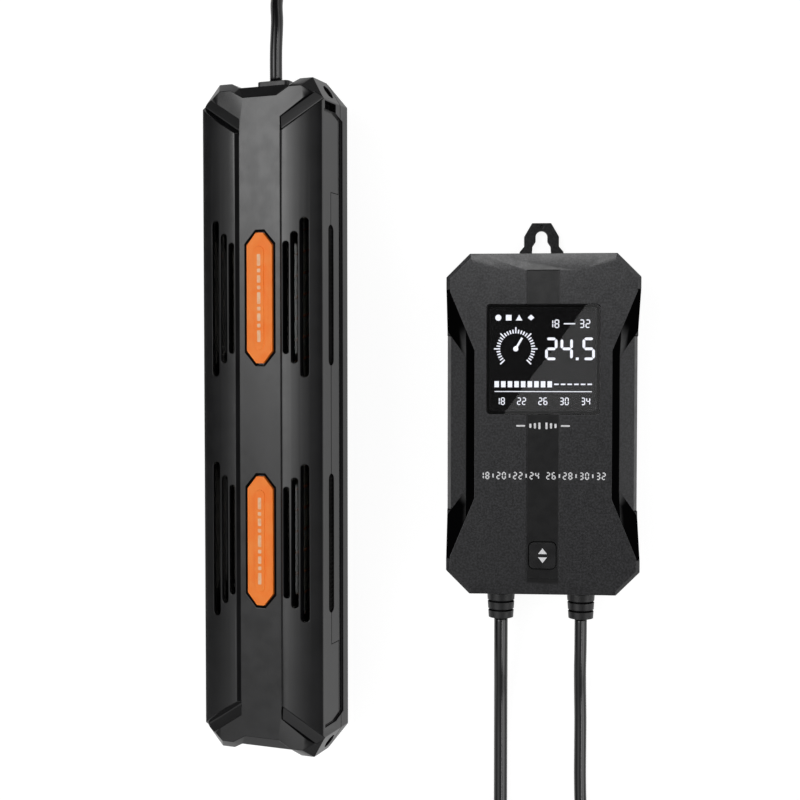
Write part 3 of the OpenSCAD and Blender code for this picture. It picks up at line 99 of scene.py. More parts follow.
# Leads: their diameters, the heater lead's start, and where the leads run straight down the table
HEATER_D, MAINS_D = 5.4, 6
LEAD_START = Vector((-62.6826, 145.7, 20.3688))
RUN_X, MAINS_X = 175, 35.55
COIL_GAP = 0.6


# ---- Camera ----
def look_at(position, target, up=(0, 1, 0)):
    """Matrix of something at position that looks at target along its own -Z."""
    z = (Vector(position) - Vector(target)).normalized()
    x = Vector(up).cross(z).normalized()
    turn = Matrix((x, z.cross(x), z)).transposed().to_4x4()
    return Matrix.Translation(Vector(position)) @ turn


LENS, CAMERA_AT, CAMERA_AIM = 58.5, (0.036, 0.0273, 0.585), (-0.009, 0.0073, 0.015)
camera_data = bpy.data.cameras.new("camera")
camera_data.lens = LENS
camera_data.sensor_width = 36
camera_data.clip_start = 0.01
camera = bpy.data.objects.new("camera", camera_data)
scene.collection.objects.link(camera)
camera.matrix_world = look_at(CAMERA_AT, CAMERA_AIM)
scene.camera = camera


# ---- Routes of the leads, the same as the CAD solids', in millimetres ----
def between(a, b, c, d, t):
    """Point at share t of the way from b to c, on the smooth curve through a, b, c and d."""
    slope, turn = 2 * a - 5 * b + 4 * c - d, 3 * b - a - 3 * c + d
    return 0.5 * (2 * b + (c - a) * t + slope * t * t + turn * t**3)


def eased(points, step):
    """Smooth line through the points, with a point about every step."""
    points = [Vector(p) for p in points]
    last = len(points) - 1
    out = []
    for i in range(last):
        a, d = points[max(i - 1, 0)], points[min(i + 2, last)]
        parts = max(1, round((points[i + 1] - points[i]).length / step))
        out += [between(a, points[i], points[i + 1], d, k / parts) for k in range(parts)]
    return out + [points[last]]


def coil_heading(turns):
    """The way a coil runs after the given turns."""
    angle = 2 * math.pi * turns
    return Vector((-math.sin(angle), -math.cos(angle), 0))


def coil_points(start, r_mid, d, turns, per_turn=48):
    """Entry, turns and exit of a coil in two layers: inwards below, half a turn's climb, outwards above."""
    climb_from, climb, pitch = (turns - 0.5) / 2, 0.5, d + COIL_GAP
    r_out = r_mid + pitch * climb_from / 2
    centre = Vector(start) - Vector((r_out, 0, 0))

    def point(s):
        t = s - climb_from
        if t < 0:
            r = r_out - pitch * s
        elif t < climb:
            r = r_out - pitch * climb_from - pitch * t + 2 * pitch * t * t
        else:
            r = r_out - pitch * climb_from + pitch * (t - climb)
        rise = (1 - math.cos(math.pi * min(max(t / climb, 0), 1))) / 2
        a = -2 * math.pi * s
        return centre + Vector((r * math.cos(a), r * math.sin(a), pitch * rise))

    turned = [point(i / per_turn) for i in range(round(turns * per_turn) + 1)]
    return [turned[0] - d * coil_heading(0)] + turned + [turned[-1] + d * coil_heading(turns)]


HEATER_COIL_Y, HEATER_COIL_R, HEATER_TURNS = -222, 31.05, 3.375
HEATER_TOP = [
    LEAD_START, LEAD_START + Vector((0, 13, 0)), (-62.5, 172, 18.5), (-63.2, 183, 14.5),
    (-61, 194, 9.5), (-55, 204, 5.5), (-44, 211, 3.3), (-30, 214, 2.7),
    *((x, 215, 2.7) for x in (-5, 25, 55, 85, 112)),
    (133, 213, 2.7), (151, 206, 2.7), (164, 195, 2.7), (172, 180, 2.7),
    *((RUN_X, y, 2.7) for y in (162, *range(135, -136, -30))),
    *((RUN_X, y, z) for y, z in ((-165, 2.8), (-190, 3.3), (-206, 3.8), (HEATER_COIL_Y + HEATER_D, 3.8))),
]
HEATER_COIL = coil_points((RUN_X, HEATER_COIL_Y, 3.8), HEATER_COIL_R, HEATER_D, HEATER_TURNS)
HEATER_END = [
    HEATER_COIL[-1], HEATER_COIL[-1] + 8 * coil_heading(HEATER_TURNS),
    (91, -224.5, 7), (83, -214.5, 4.5), (77, -203, 3.1), (73.3, -190.5, 2.7), (71.6, -177, 2.7),
    (71.15, -163, 2.7), (71.15, -149, 2.7), (71.15, -136, 3.2), (70.85, -124, 5.4),
    *((70.55, y, z) for y, z in ((-113, 8.8), (-103, 11.2), (-93.35, 12), (-88.35, 12))),
]

MAINS_COIL_Y, MAINS_COIL_R, MAINS_TURNS = -230, 36, 5.75
MAINS_START = [
    *((MAINS_X, y, z) for y, z in ((-88.35, 12), (-93.35, 12), (-103, 11.3), (-113, 9), (-124, 5.7))),
    *((MAINS_X, y, z) for y, z in ((-136, 3.5), (-150, 3), (-170, 3), (-190, 3.4), (-209, 4.1))),
    (MAINS_X, MAINS_COIL_Y + MAINS_D, 4.1),
]
MAINS_COIL = coil_points((MAINS_X, MAINS_COIL_Y, 4.1), MAINS_COIL_R, MAINS_D, MAINS_TURNS)
MAINS_END = [
    MAINS_COIL[-1], MAINS_COIL[-1] + 12 * coil_heading(MAINS_TURNS),
    (24, -185.4, 10.7), (36, -186.5, 10.6), (46, -190, 9.8), (54.5, -196.5, 8.5), (60, -204.5, 7.3),
    (62, -207, 6.85), (62, -213, 6.85),
]


def joined(*parts):
    """One line, in metres, through the points of several routes that follow one another."""
    repeated = 0.2 * MM
    line = []
    for part in parts:
        line += [p * MM for p in part if not line or (p * MM - line[-1]).length > repeated]
    return line


# ---- Pieces ----
def add_piece(name, mesh, body, slot, finish=None):
    """Adds a mesh as a piece, with the slot's finish unless another is named."""
    piece = bpy.data.objects.new(name, mesh)
    scene.collection.objects.link(piece)
    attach(piece, body)
    mesh.materials.append(finishes[finish or slot].material)
    return piece


def mesh_from(bm, name):
    """The finished mesh, with the bmesh freed."""
    mesh = bpy.data.meshes.new(name)
    bm.to_mesh(mesh)
    bm.free()
    return mesh


def tube_mesh(name, line, radius, sides=18):
    """Closed round tube along a line. Its rings turn with the line and don't twist."""
    bm = bmesh.new()
    turn = [2 * math.pi * k / sides for k in range(sides)]
    across, rings = None, []
    for i, p in enumerate(line):
        along = (line[min(i + 1, len(line) - 1)] - line[max(i - 1, 0)]).normalized()
        across = along.orthogonal() if across is None else across - across.dot(along) * along
        across.normalize()
        up = along.cross(across)
        rings.append([bm.verts.new(p + radius * (math.cos(a) * across + math.sin(a) * up)) for a in turn])
    for one, two in zip(rings, rings[1:]):
        for k in range(sides):
            n = (k + 1) % sides
            bm.faces.new((one[k], one[n], two[n], two[k])).smooth = True
    bm.faces.new(rings[0][::-1])
    bm.faces.new(rings[-1])
    return mesh_from(bm, name)


def prisms(name, solids, place):
    """One mesh of upright prisms. Each is an outline, a low Z, a high Z, and a hole's outline or None."""
    bm = bmesh.new()

    def ring(outline, z):
        return [bm.verts.new(place @ Vector((x, y, z)) * MM) for x, y in outline]

    def wall(one, two):
        for k in range(len(one)):
            n = (k + 1) % len(one)
            bm.faces.new((one[k], one[n], two[n], two[k]))

    for outline, low, high, hole in solids:
        foot, top = ring(outline, low), ring(outline, high)
        wall(foot, top)
        if hole is None:
            bm.faces.new(top)
            bm.faces.new(foot[::-1])
        else:
            inner_foot, inner_top = ring(hole, low), ring(hole, high)
            wall(top, inner_top)
            wall(inner_top, inner_foot)
            wall(inner_foot, foot)
    return mesh_from(bm, name)


# ---- Materials ----
def srgb(*values):
    """Linear colour from sRGB numbers of 0 to 255."""
    return tuple((v / 255 / 12.92 if v <= 10 else ((v / 255 + 0.055) / 1.055) ** 2.4) for v in values)


X_AXIS, Y_AXIS, Z_AXIS = Vector((1, 0, 0)), Vector((0, 1, 0)), Vector((0, 0, 1))
HEATER_X_AXIS = HEATER.to_3x3() @ X_AXIS

# Where painted shade goes on the guard, from the heater's middle
NOTCH_FLOOR_Y, NOTCH_HALF_W = 136.65, 12.2
END_Y = 135
STEP_IN, STEP_OUT = 9.2, 11.8

# Where painted shade goes on the case, from the case's middle
GRIP_IN, GRIP_OUT, GRIP_HALF_L = 27.9, 32.75, 57.4
UNDER_WINDOW_Y = 22.45


class Finish:
    """A Principled material whose colour, roughness and relief come from noise in object coordinates."""

    def __init__(self, name, **fixed):
        self.material = bpy.data.materials.new(name)
        self.material.use_nodes = True
        self.tree = self.material.node_tree
        self.shader = self.tree.nodes["Principled BSDF"]
        for key, value in fixed.items():
            self.shader.inputs[key.replace("_", " ")].default_value = value
        self.at = self.add("ShaderNodeTexCoord").outputs["Object"]

    def add(self, kind, **settings):
        """New node of the kind, with its settings."""
        node = self.tree.nodes.new(kind)
        for key, value in settings.items():
            setattr(node, key, value)
        return node

    def put(self, value, socket):
        """Links an output to the socket, or sets a plain value on it."""
        if isinstance(value, bpy.types.NodeSocket):
            self.tree.links.new(value, socket)
        else:
            socket.default_value = value

    # Patterns
    def noise(self, scale, detail=3, stretch=None, rough=0.5):
        """Cloudy noise of 0 to 1, finer as the scale grows, or stretched by a scale for each axis."""
        node = self.add("ShaderNodeTexNoise")
        node.inputs["Scale"].default_value = scale
        node.inputs["Detail"].default_value = detail
        node.inputs["Roughness"].default_value = rough
        at = self.at
        if stretch:
            mapping = self.add("ShaderNodeMapping")
            mapping.inputs["Scale"].default_value = stretch
            self.put(at, mapping.inputs["Vector"])
            at = mapping.outputs["Vector"]
        self.put(at, node.inputs["Vector"])
        return node.outputs["Fac"]

    def cells(self, scale):
        """Distance from the middles of small random cells."""
        node = self.add("ShaderNodeTexVoronoi")
        node.inputs["Scale"].default_value = scale
        self.put(self.at, node.inputs["Vector"])
        return node.outputs["Distance"]

    # Sums and masks
    def math(self, kind, *values):
        """Output of a Math node over sockets and plain values."""
        node = self.add("ShaderNodeMath", operation=kind)
        for value, socket in zip(values, node.inputs):
            self.put(value, socket)
        return node.outputs[0]

    def size(self, value):
        """The value without its sign."""
        return self.math("ABSOLUTE", value)

    def all_of(self, mask, *more):
        """Mask of where all of the masks hold."""
        for other in more:
            mask = self.math("MULTIPLY", mask, other)
        return mask

    def any_of(self, mask, *more):
        """Mask of where one of the masks or more hold."""
        for other in more:
            mask = self.math("MAXIMUM", mask, other)
        return mask

    def span(self, value, low, high, to_low=0.0, to_high=1.0):
        """The value, turned smoothly from the span low to high into the span to_low to to_high."""
        node = self.add("ShaderNodeMapRange", interpolation_type="SMOOTHSTEP")
        for socket, v in zip(node.inputs, (value, low, high, to_low, to_high)):
            self.put(v, socket)
        return node.outputs[0]

    def beyond(self, value, edge, blur, most=1.0):
        """Mask of where the value is over the edge."""
        return self.span(value, edge - blur, edge + blur, 0, most)

    def within(self, value, edge, blur, most=1.0):
        """Mask of where the value is under the edge."""
        return self.span(value, edge - blur, edge + blur, most, 0)

    def along(self, vector, axis):
        """The vector's share along the axis."""
        node = self.add("ShaderNodeVectorMath", operation="DOT_PRODUCT")
        self.put(vector, node.inputs[0])
        node.inputs[1].default_value = axis
        return node.outputs["Value"]

    def reach(self, axis, origin=(0, 0, 0)):
        """How far the point is from the origin along the axis, in millimetres."""
        return self.math("SUBTRACT", self.along(self.at, axis / MM), axis.dot(Vector(origin)))

    def facing(self, axis):
        """1 where the surface faces along the axis, 0 where it is square to it, -1 where it faces back."""
        return self.along(self.add("ShaderNodeTexCoord").outputs["Normal"], axis)

    # Results
    def mix(self, factor, a, b):
        """Colour between a and b, which are colours or sockets."""
        node = self.add("ShaderNodeMix", data_type="RGBA")
        self.put(factor, node.inputs["Factor"])
        for socket, v in ((node.inputs["A"], a), (node.inputs["B"], b)):
            self.put(v if isinstance(v, bpy.types.NodeSocket) else (*v, 1), socket)
        return node.outputs["Result"]

    def colour(self, value):
        self.put(value, self.shader.inputs["Base Color"])
        return self

    def rough(self, value):
        self.put(value, self.shader.inputs["Roughness"])
        return self

    def dim(self, mask, least):
        """Tones the shader's reflections down to the given level where the mask is 1."""
        level = self.shader.inputs["Specular IOR Level"]
        self.put(self.span(mask, 0, 1, level.default_value, least), level)
        return self

    def relief(self, height, depth, strength=1.0):
        """Bump of the given depth in millimetres, on top of any relief set before."""
        bump = self.add("ShaderNodeBump")
        bump.inputs["Strength"].default_value = strength
        bump.inputs["Distance"].default_value = depth * MM
        self.put(height, bump.inputs["Height"])
        earlier = self.shader.inputs["Normal"].links
        if earlier:
            self.put(earlier[0].from_socket, bump.inputs["Normal"])
        self.put(bump.outputs["Normal"], self.shader.inputs["Normal"])
        return self


def moulded(name, dark, light, rough, grain, depth, spread=0.06, blotch=90, **fixed):
    """Moulded plastic or rubber: two near tones, uneven gloss and a fine grain of a depth in millimetres."""
    f = Finish(name, **fixed)
    f.colour(f.mix(f.span(f.noise(blotch, 4), 0.35, 0.65), dark, light))
    f.rough(f.span(f.noise(blotch * 2.3, 5), 0.3, 0.7, rough - spread, rough + spread))
    f.relief(f.noise(grain, 4, rough=0.6), depth)
    return f


def gloss_black(name, tone, rough):
    """Polished black shell with faint flow marks and fine scratches along its length."""
    f = Finish(name, IOR=1.46)
    f.colour(f.mix(f.span(f.noise(70, 4), 0.35, 0.65), [t * 0.75 for t in tone], [t * 1.25 for t in tone]))
    scratches = f.span(f.noise(1, 6, stretch=(2600, 60, 2600), rough=0.7), 0.58, 0.74)
    haze = f.span(f.noise(160, 5), 0.3, 0.7, rough - 0.03, rough + 0.03)
    f.rough(f.math("ADD", haze, f.math("MULTIPLY", scratches, 0.10)))
    f.relief(f.noise(45, 3), 0.05, 0.5)
    f.relief(f.noise(2200, 3), 0.004, 0.5)
    return f


def metal(name, dark, light, rough, brushed=(1800, 40, 1800)):
    """Metal whose tone, gloss and relief follow fine lines."""
    f = Finish(name, Metallic=1.0)
    lines = f.noise(1, 5, stretch=brushed, rough=0.65)
    f.colour(f.mix(f.span(lines, 0.35, 0.65), dark, light))
    f.rough(f.span(lines, 0.3, 0.7, rough - 0.06, rough + 0.08))
    f.relief(lines, 0.008, 0.6)
    return f


def guard_plastic():
    """Gloss black, with painted shade in the notch, at the ends and on the steps beside the strip, where its
    reflections of the pale floor are turned down.
    """
    f = gloss_black("guard_plastic", (0.0058, 0.0058, 0.0064), 0.15)
    lengthwise = f.reach(Y_AXIS, HEATER_AT)
    off_middle = f.size(f.reach(HEATER_X_AXIS, HEATER_AT))
    to_end = f.facing(Y_AXIS)
    notch = f.all_of(f.beyond(to_end, 0.275, 0.075), f.within(off_middle, NOTCH_HALF_W, 0.4),
                     f.beyond(lengthwise, NOTCH_FLOOR_Y, 0.5))
    end_wall = f.beyond(to_end, 0.85, 0.10)
    ends = f.all_of(f.beyond(f.size(to_end), 0.35, 0.10, 0.62), f.beyond(f.size(lengthwise), END_Y, 0.5))
    steps = f.all_of(f.beyond(f.facing(HEATER_X_AXIS), 0.66, 0.06), f.beyond(off_middle, STEP_IN, 0.2),
                     f.within(off_middle, STEP_OUT, 0.2))
    # Painted shade: reflections turned down where these masks hold
    return f.dim(f.any_of(notch, end_wall, ends, steps), 0.02)


def case_plastic():
    """Speckled, finely grained black with a plainer middle band, and painted shade: near-black walls without
    reflections in the grips, and weaker reflections on the band below the window.
    """
    f = Finish("case_plastic", IOR=1.47)
    across, height = f.size(f.reach(X_AXIS, CASE_AT)), f.reach(Z_AXIS)
    lengthwise = f.reach(Y_AXIS, CASE_AT)
    up = f.facing(Z_AXIS)
    band = f.all_of(f.within(across, BAND_HALF_W, 0.45), f.beyond(height, BAND_TOP - 0.35, 0.2))
    under_window = f.all_of(band, f.within(lengthwise, UNDER_WINDOW_Y, 10, 0.34))
    wall = f.all_of(f.beyond(across, GRIP_IN, 0.2), f.within(across, GRIP_OUT, 0.25))
    slope = f.beyond(f.size(f.facing(Y_AXIS)), 0.16, 0.06)
    steep = f.all_of(f.within(up, 0.85, 0.05), f.beyond(up, -0.025, 0.075))
    # Painted shade on the steep walls and slopes of the grips
    painted_grip_shade = f.all_of(steep, f.within(f.size(lengthwise), GRIP_HALF_L, 0.4), f.any_of(wall, slope))
    speckle = f.span(f.noise(1150, 4, rough=0.65), 0.40, 0.62)
    face = f.mix(speckle, (0.0044, 0.0044, 0.0049), (0.0185, 0.0185, 0.0205))
    f.colour(f.mix(painted_grip_shade, f.mix(band, face, (0.0026, 0.0026, 0.0029)), (0.0012, 0.0012, 0.0013)))
    f.rough(f.span(f.noise(240, 5), 0.3, 0.7, 0.40, 0.48))
    f.relief(f.cells(2300), 0.022, 0.6)
    f.relief(f.noise(3600, 4, rough=0.7), 0.016, 0.7)
    # Painted shade: reflections off in the grips and weaker on the band below the window
    return f.dim(f.any_of(painted_grip_shade, under_window), 0.0)


def relief_rubber():
    """Black rubber, with painted shade deep in its grooves, where ambient occlusion turns its reflections
    off.
    """
    f = moulded("relief_rubber", (0.008, 0.008, 0.009), (0.013, 0.013, 0.014), 0.42, 3600, 0.006)
    # Painted shade: no reflections where the grooves are deep
    groove_shade = f.add("ShaderNodeAmbientOcclusion", samples=12, only_local=True)
    groove_shade.inputs["Distance"].default_value = 3 * MM
    return f.dim(f.span(groove_shade.outputs["AO"], 0.35, 0.75, 1, 0), 0.0)


def tie_plastic():
    """Woven black strap."""
    f = Finish("tie_plastic", Sheen_Weight=0.35, Sheen_Roughness=0.4)
    weave = f.add("ShaderNodeTexWave", bands_direction="DIAGONAL")
    weave.inputs["Scale"].default_value = 420
    f.put(f.at, weave.inputs["Vector"])
    f.colour(f.mix(weave.outputs["Fac"], (0.010, 0.010, 0.011), (0.026, 0.026, 0.028)))
    f.rough(f.span(f.noise(900, 4), 0.3, 0.7, 0.7, 0.9))
    return f.relief(weave.outputs["Fac"], 0.12).relief(f.noise(4200, 3), 0.05)


def quartz():
    """Smoky glass with a faint haze and flow marks."""
    f = Finish("quartz", Transmission_Weight=1.0, IOR=1.46, Base_Color=(0.45, 0.44, 0.42, 1))
    f.rough(f.span(f.noise(120, 4), 0.35, 0.7, 0.015, 0.07))
    return f.relief(f.noise(30, 2), 0.08, 0.3)


def fuse_glass():
    """Half clear, faintly dusty glass."""
    f = Finish("fuse_glass", Transmission_Weight=0.6, IOR=1.5)
    f.colour(f.mix(f.span(f.noise(300, 3), 0.4, 0.6), (0.75, 0.75, 0.74), (0.85, 0.85, 0.84)))
    return f.rough(f.span(f.noise(500, 3), 0.3, 0.7, 0.08, 0.2))


def circuit_board():
    """Green board with paler tracks."""
    f = Finish("circuit_board", IOR=1.5)
    brick = f.add("ShaderNodeTexBrick")
    brick.inputs["Scale"].default_value = 190
    brick.inputs["Mortar Size"].default_value = 0.035
    f.put(f.at, brick.inputs["Vector"])
    tracks = f.all_of(brick.outputs["Fac"], f.span(f.noise(150, 2), 0.45, 0.55))
    f.colour(f.mix(tracks, srgb(14, 70, 40), srgb(60, 140, 86)))
    f.rough(f.span(f.noise(700, 3), 0.3, 0.7, 0.28, 0.4))
    return f.relief(brick.outputs["Fac"], 0.02)


def display_panel():
    """Dark cell of the display, seen through the lens."""
    f = Finish("display_panel", IOR=1.5, Specular_IOR_Level=0.08)
    f.colour(f.mix(f.span(f.noise(200, 3), 0.3, 0.7), (0.0012, 0.0012, 0.0014), (0.0022, 0.0022, 0.0025)))
    return f.rough(f.span(f.noise(600, 3), 0.3, 0.7, 0.32, 0.42))


def display_lens():
    """Tinted clear window with hardly any haze."""
    f = Finish("display_lens", Transmission_Weight=1.0, IOR=1.36, Base_Color=(0.46, 0.46, 0.48, 1))
    return f.rough(f.span(f.noise(160, 4), 0.35, 0.75, 0.0, 0.02))


def display_mark():
    """Lit marks of the display, a little uneven."""
    f = Finish("display_mark", Emission_Color=(0.93, 0.95, 1.0, 1))
    f.put(f.span(f.noise(900, 3), 0.2, 0.8, 1.9, 2.3), f.shader.inputs["Emission Strength"])
    f.colour(f.mix(f.noise(900, 2), (0.60, 0.60, 0.62), (0.72, 0.72, 0.74)))
    return f.rough(f.span(f.noise(1200, 2), 0.3, 0.7, 0.4, 0.5))


# Dark tone, light tone, roughness, scale of the grain and its depth in millimetres, and what else differs
PLAIN = {
    "gasket_rubber": ((0.02, 0.02, 0.021), (0.035, 0.035, 0.036), 0.7, 2400, 0.02, {}),
    "stopper_rubber": ((0.10, 0.10, 0.10), (0.14, 0.14, 0.14), 0.72, 1500, 0.03, {}),
    "cup_rubber": ((0.018, 0.018, 0.019), (0.030, 0.030, 0.031), 0.42, 1100, 0.012, {}),
    "lead_rubber": ((0.0030, 0.0030, 0.0034), (0.0042, 0.0042, 0.0046), 0.17, 700, 0.001, {"spread": 0.02}),
    "cap_plastic": ((0.012, 0.012, 0.013), (0.022, 0.022, 0.023), 0.5, 1600, 0.03, {}),
    "button_plastic": ((0.0022, 0.0022, 0.0026), (0.0036, 0.0036, 0.0040), 0.42, 2800, 0.018,
                       {"Specular_IOR_Level": 0.4}),
    "plug_plastic": ((0.011, 0.011, 0.012), (0.018, 0.018, 0.019), 0.38, 2000, 0.02, {}),
    "tray_plastic": ((0.62, 0.62, 0.60), (0.72, 0.72, 0.70), 0.5, 900, 0.02, {}),
    "component_plastic": ((0.015, 0.015, 0.016), (0.03, 0.03, 0.031), 0.45, 1500, 0.02, {}),
    "relay_plastic": (srgb(20, 60, 130), srgb(30, 78, 150), 0.35, 1200, 0.01, {}),
    "terminal_plastic": (srgb(20, 100, 52), srgb(32, 122, 66), 0.42, 1200, 0.015, {}),
    "capacitor_sleeve": (srgb(18, 20, 42), srgb(30, 32, 60), 0.3, 700, 0.01, {}),
    "core_insulation": (srgb(96, 44, 22), srgb(120, 60, 30), 0.45, 1600, 0.015, {}),
    "transformer": (srgb(190, 160, 52), srgb(214, 186, 76), 0.5, 600, 0.03, {}),
    "ceramic": (srgb(126, 118, 106), srgb(150, 142, 128), 0.75, 1800, 0.03, {}),
    # orange_plastic glows faintly orange: painted light
    "orange_plastic": ((1.0, 0.232, 0.026), (1.0, 0.275, 0.042), 0.42, 1400, 0.010, {
        "blotch": 160, "IOR": 1.45, "Specular_IOR_Level": 0.25, "Emission_Color": (1.0, 0.16, 0.01, 1),
        "Emission_Strength": 0.09}),
    # dark_screen is the finish of the painted shade in the badge grooves and the side slots
    "dark_screen": ((0.002, 0.002, 0.002), (0.005, 0.005, 0.005), 0.8, 1600, 0.02,
                    {"Specular_IOR_Level": 0.06}),
    "print_ink": (srgb(226, 226, 228), srgb(246, 246, 248), 0.55, 2600, 0.01, {"blotch": 900}),
    "badge_ink": (srgb(252, 186, 132), srgb(255, 204, 158), 0.45, 1800, 0.01, {"blotch": 500}),
}
ALL_WAYS = (900, 900, 900)
finishes = {name: moulded(name, *row, **rest) for name, (*row, rest) in PLAIN.items()}
finishes["gland_plastic"] = gloss_black("gland_plastic", (0.012, 0.012, 0.0125), 0.32)
finishes["heating_alloy"] = metal("heating_alloy", srgb(150, 96, 62), srgb(190, 132, 92), 0.4, ALL_WAYS)
finishes["screw_steel"] = metal("screw_steel", (0.34, 0.34, 0.35), (0.50, 0.50, 0.51), 0.30, ALL_WAYS)
finishes["probe_steel"] = metal("probe_steel", (0.42, 0.42, 0.43), (0.56, 0.56, 0.57), 0.28)
finishes["pin_metal"] = metal("pin_metal", (0.58, 0.56, 0.52), (0.72, 0.70, 0.66), 0.2)
for make in (guard_plastic, case_plastic, relief_rubber, tie_plastic, quartz, fuse_glass, circuit_board,
             display_panel, display_lens, display_mark):
    finishes[make.__name__] = make()

for entry in frame["record"]["subparts"]:
    for spot in nodes[entry["node"]].material_slots:
        spot.material = finishes[entry["material_slot"]].material


# ---- Leads ----
ROUTE_STEP = 3
heater_line = joined(eased(HEATER_TOP, ROUTE_STEP), HEATER_COIL, eased(HEATER_END, ROUTE_STEP))
mains_line = joined(eased(MAINS_START, ROUTE_STEP), MAINS_COIL, eased(MAINS_END, ROUTE_STEP))
heater_tube = tube_mesh("heater_lead", heater_line, HEATER_D / 2 * MM)
mains_tube = tube_mesh("mains_lead", mains_line, MAINS_D / 2 * MM)
heater_lead = add_piece("heater_lead", heater_tube, BODY, "lead_rubber")
mains_lead = add_piece("mains_lead", mains_tube, BODY, "lead_rubber")
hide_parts("heater_lead_top", "heater_lead_coil", "heater_lead_end")
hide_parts("mains_lead_start", "mains_lead_coil", "mains_lead_end")


# ---- Outlines for thin pieces, in millimetres ----
INK, SUNK = 0.04, 0.01


def block(x, y, w, h, corner=0.0):
    """Outline of a bar round (x, y), with sharp or rounded corners."""
    half_w, half_h = w / 2, h / 2
    if not corner:
        ways = ((-1, -1), (1, -1), (1, 1), (-1, 1))
        return [(x + side_x * half_w, y + side_y * half_h) for side_x, side_y in ways]
    out = []
    for side_x, side_y, start in ((1, 1, 0), (-1, 1, 90), (-1, -1, 180), (1, -1, 270)):
        cx, cy = x + side_x * (half_w - corner), y + side_y * (half_h - corner)
        turn = [math.radians(start + 22.5 * k) for k in range(5)]
        out += [(cx + corner * math.cos(a), cy + corner * math.sin(a)) for a in turn]
    return out


def turned_bar(centre, r_in, r_out, w, angle):
    """Outline of a bar that points away from the centre."""
    c, s = math.cos(math.radians(angle)), math.sin(math.radians(angle))
    corners = ((r_in, -w / 2), (r_out, -w / 2), (r_out, w / 2), (r_in, w / 2))
    return [(centre[0] + u * c - v * s, centre[1] + u * s + v * c) for u, v in corners]


SEGMENTS = {"0": "abcdef", "1": "bc", "2": "abged", "3": "abgcd", "4": "fgbc", "5": "afgcd", "6": "afgedc",
            "7": "abc", "8": "abcdefg", "9": "abcdfg"}


def digits(text, x, y, w, h, t):
    """Seven-segment digits of width w, height h and stroke t, with their lower left corner at (x, y)."""
    out = []
    m, gap = t / 2, 0.12 * t
    for letter in text:
        if letter == ".":
            out.append(block(x + m, y + m, t, t))
            x += 2.4 * t
            continue
        level = {"a": y + h - m, "g": y + h / 2, "d": y + m}
        for key in SEGMENTS[letter]:
            if key in level:
                v, a, b = level[key], x + m + gap, x + w - m - gap
                out.append([(a, v), (a + m, v - m), (b - m, v - m), (b, v), (b - m, v + m), (a + m, v + m)])
            else:
                u = x + m if key in "ef" else x + w - m
                a, b = (y + m, y + h / 2) if key in "ce" else (y + h / 2, y + h - m)
                a, b = a + gap, b - gap
                out.append([(u, a), (u + m, a + m), (u + m, b - m), (u, b), (u - m, b - m), (u - m, a + m)])
        x += w + 1.1 * t
    return out


# ---- Badges: a dark rim of painted shade in the groove round each, and dashes in place of its words ----
def badge_outline(inset):
    """A badge's eight-sided outline, drawn in by the inset."""
    w, l, tip = BADGE_HALF_W - inset, BADGE_HALF_L - inset, BADGE_HALF_TIP - 0.4 * inset
    shoulder = l - BADGE_SLOPE + 0.4 * inset
    return [(w, -shoulder), (w, shoulder), (tip, l), (-tip, l), (-w, shoulder), (-w, -shoulder), (-tip, -l),
            (tip, -l)]


SHADE_RIM_INSETS, SHADE_RIM_DEPTH = (0.3, 0.72), 1.39
DASHES, DASH_W, DASH_GAP, DASH_TOP = (5, 1.6, 3.2, 1.6, 5, 1.6, 3.2, 1.6, 5), 1.6, 1.2, 18.7
dash_low, dash_high = BADGE_TOP - 0.02, BADGE_TOP + INK
for name, y in (("upper", BADGE_Y), ("lower", -BADGE_Y)):
    outer, inner = ([(u, v + y) for u, v in badge_outline(inset)] for inset in SHADE_RIM_INSETS)
    # Painted shade: a dark rim fills the groove round the badge
    shade_rim = prisms(f"{name}_badge_shade_rim", [(outer, STRIP_TOP - SHADE_RIM_DEPTH, STRIP_TOP + INK, inner)], HEATER)
    add_piece(f"{name}_badge_shade_rim", shade_rim, BODY, "guard_plastic", "dark_screen")
    dashes, v = [], y + DASH_TOP
    for long in DASHES:
        dashes.append((block(0, v - long / 2, DASH_W, long, 0.4), dash_low, dash_high, None))
        v -= long + DASH_GAP
    add_piece(f"{name}_badge_dashes", prisms(f"{name}_badge_dashes", dashes, HEATER), BODY, "orange_plastic",
              "badge_ink")

# ---- Painted shade: black sheets with fine bars, like screens, in the slots of the guard's side walls ----
SHADE_SHEET_X, SHADE_SHEET_T, SHADE_SHEET_L = 26.6, 0.5, 59.6
SHADE_BAR_X, SHADE_BAR_T, SHADE_BAR_W, SHADE_BAR_PITCH, SHADE_BARS_EACH_WAY = 26.95, 0.3, 0.7, 2, 14
shade_sheet_half_w, shade_bar_half_w = SIDE_SLOT_W / 2 - 0.1, SIDE_SLOT_W / 2 - 0.2
slot_shades = []
for side in (-1, 1):
    for y in (SIDE_SLOT_Y, -SIDE_SLOT_Y):
        slot_shades.append((block(side * SHADE_SHEET_X, y, SHADE_SHEET_T, SHADE_SHEET_L), SIDE_SLOT_Z - shade_sheet_half_w,
                        SIDE_SLOT_Z + shade_sheet_half_w, None))
        slot_shades += [(block(side * SHADE_BAR_X, y + SHADE_BAR_PITCH * k, SHADE_BAR_T, SHADE_BAR_W), SIDE_SLOT_Z - shade_bar_half_w,
                     SIDE_SLOT_Z + shade_bar_half_w, None) for k in range(-SHADE_BARS_EACH_WAY, SHADE_BARS_EACH_WAY + 1)]
# Painted shade: dark sheets and bars that keep the slots black
add_piece("side_slot_shades", prisms("side_slot_shades", slot_shades, HEATER), BODY, "cap_plastic", "dark_screen")


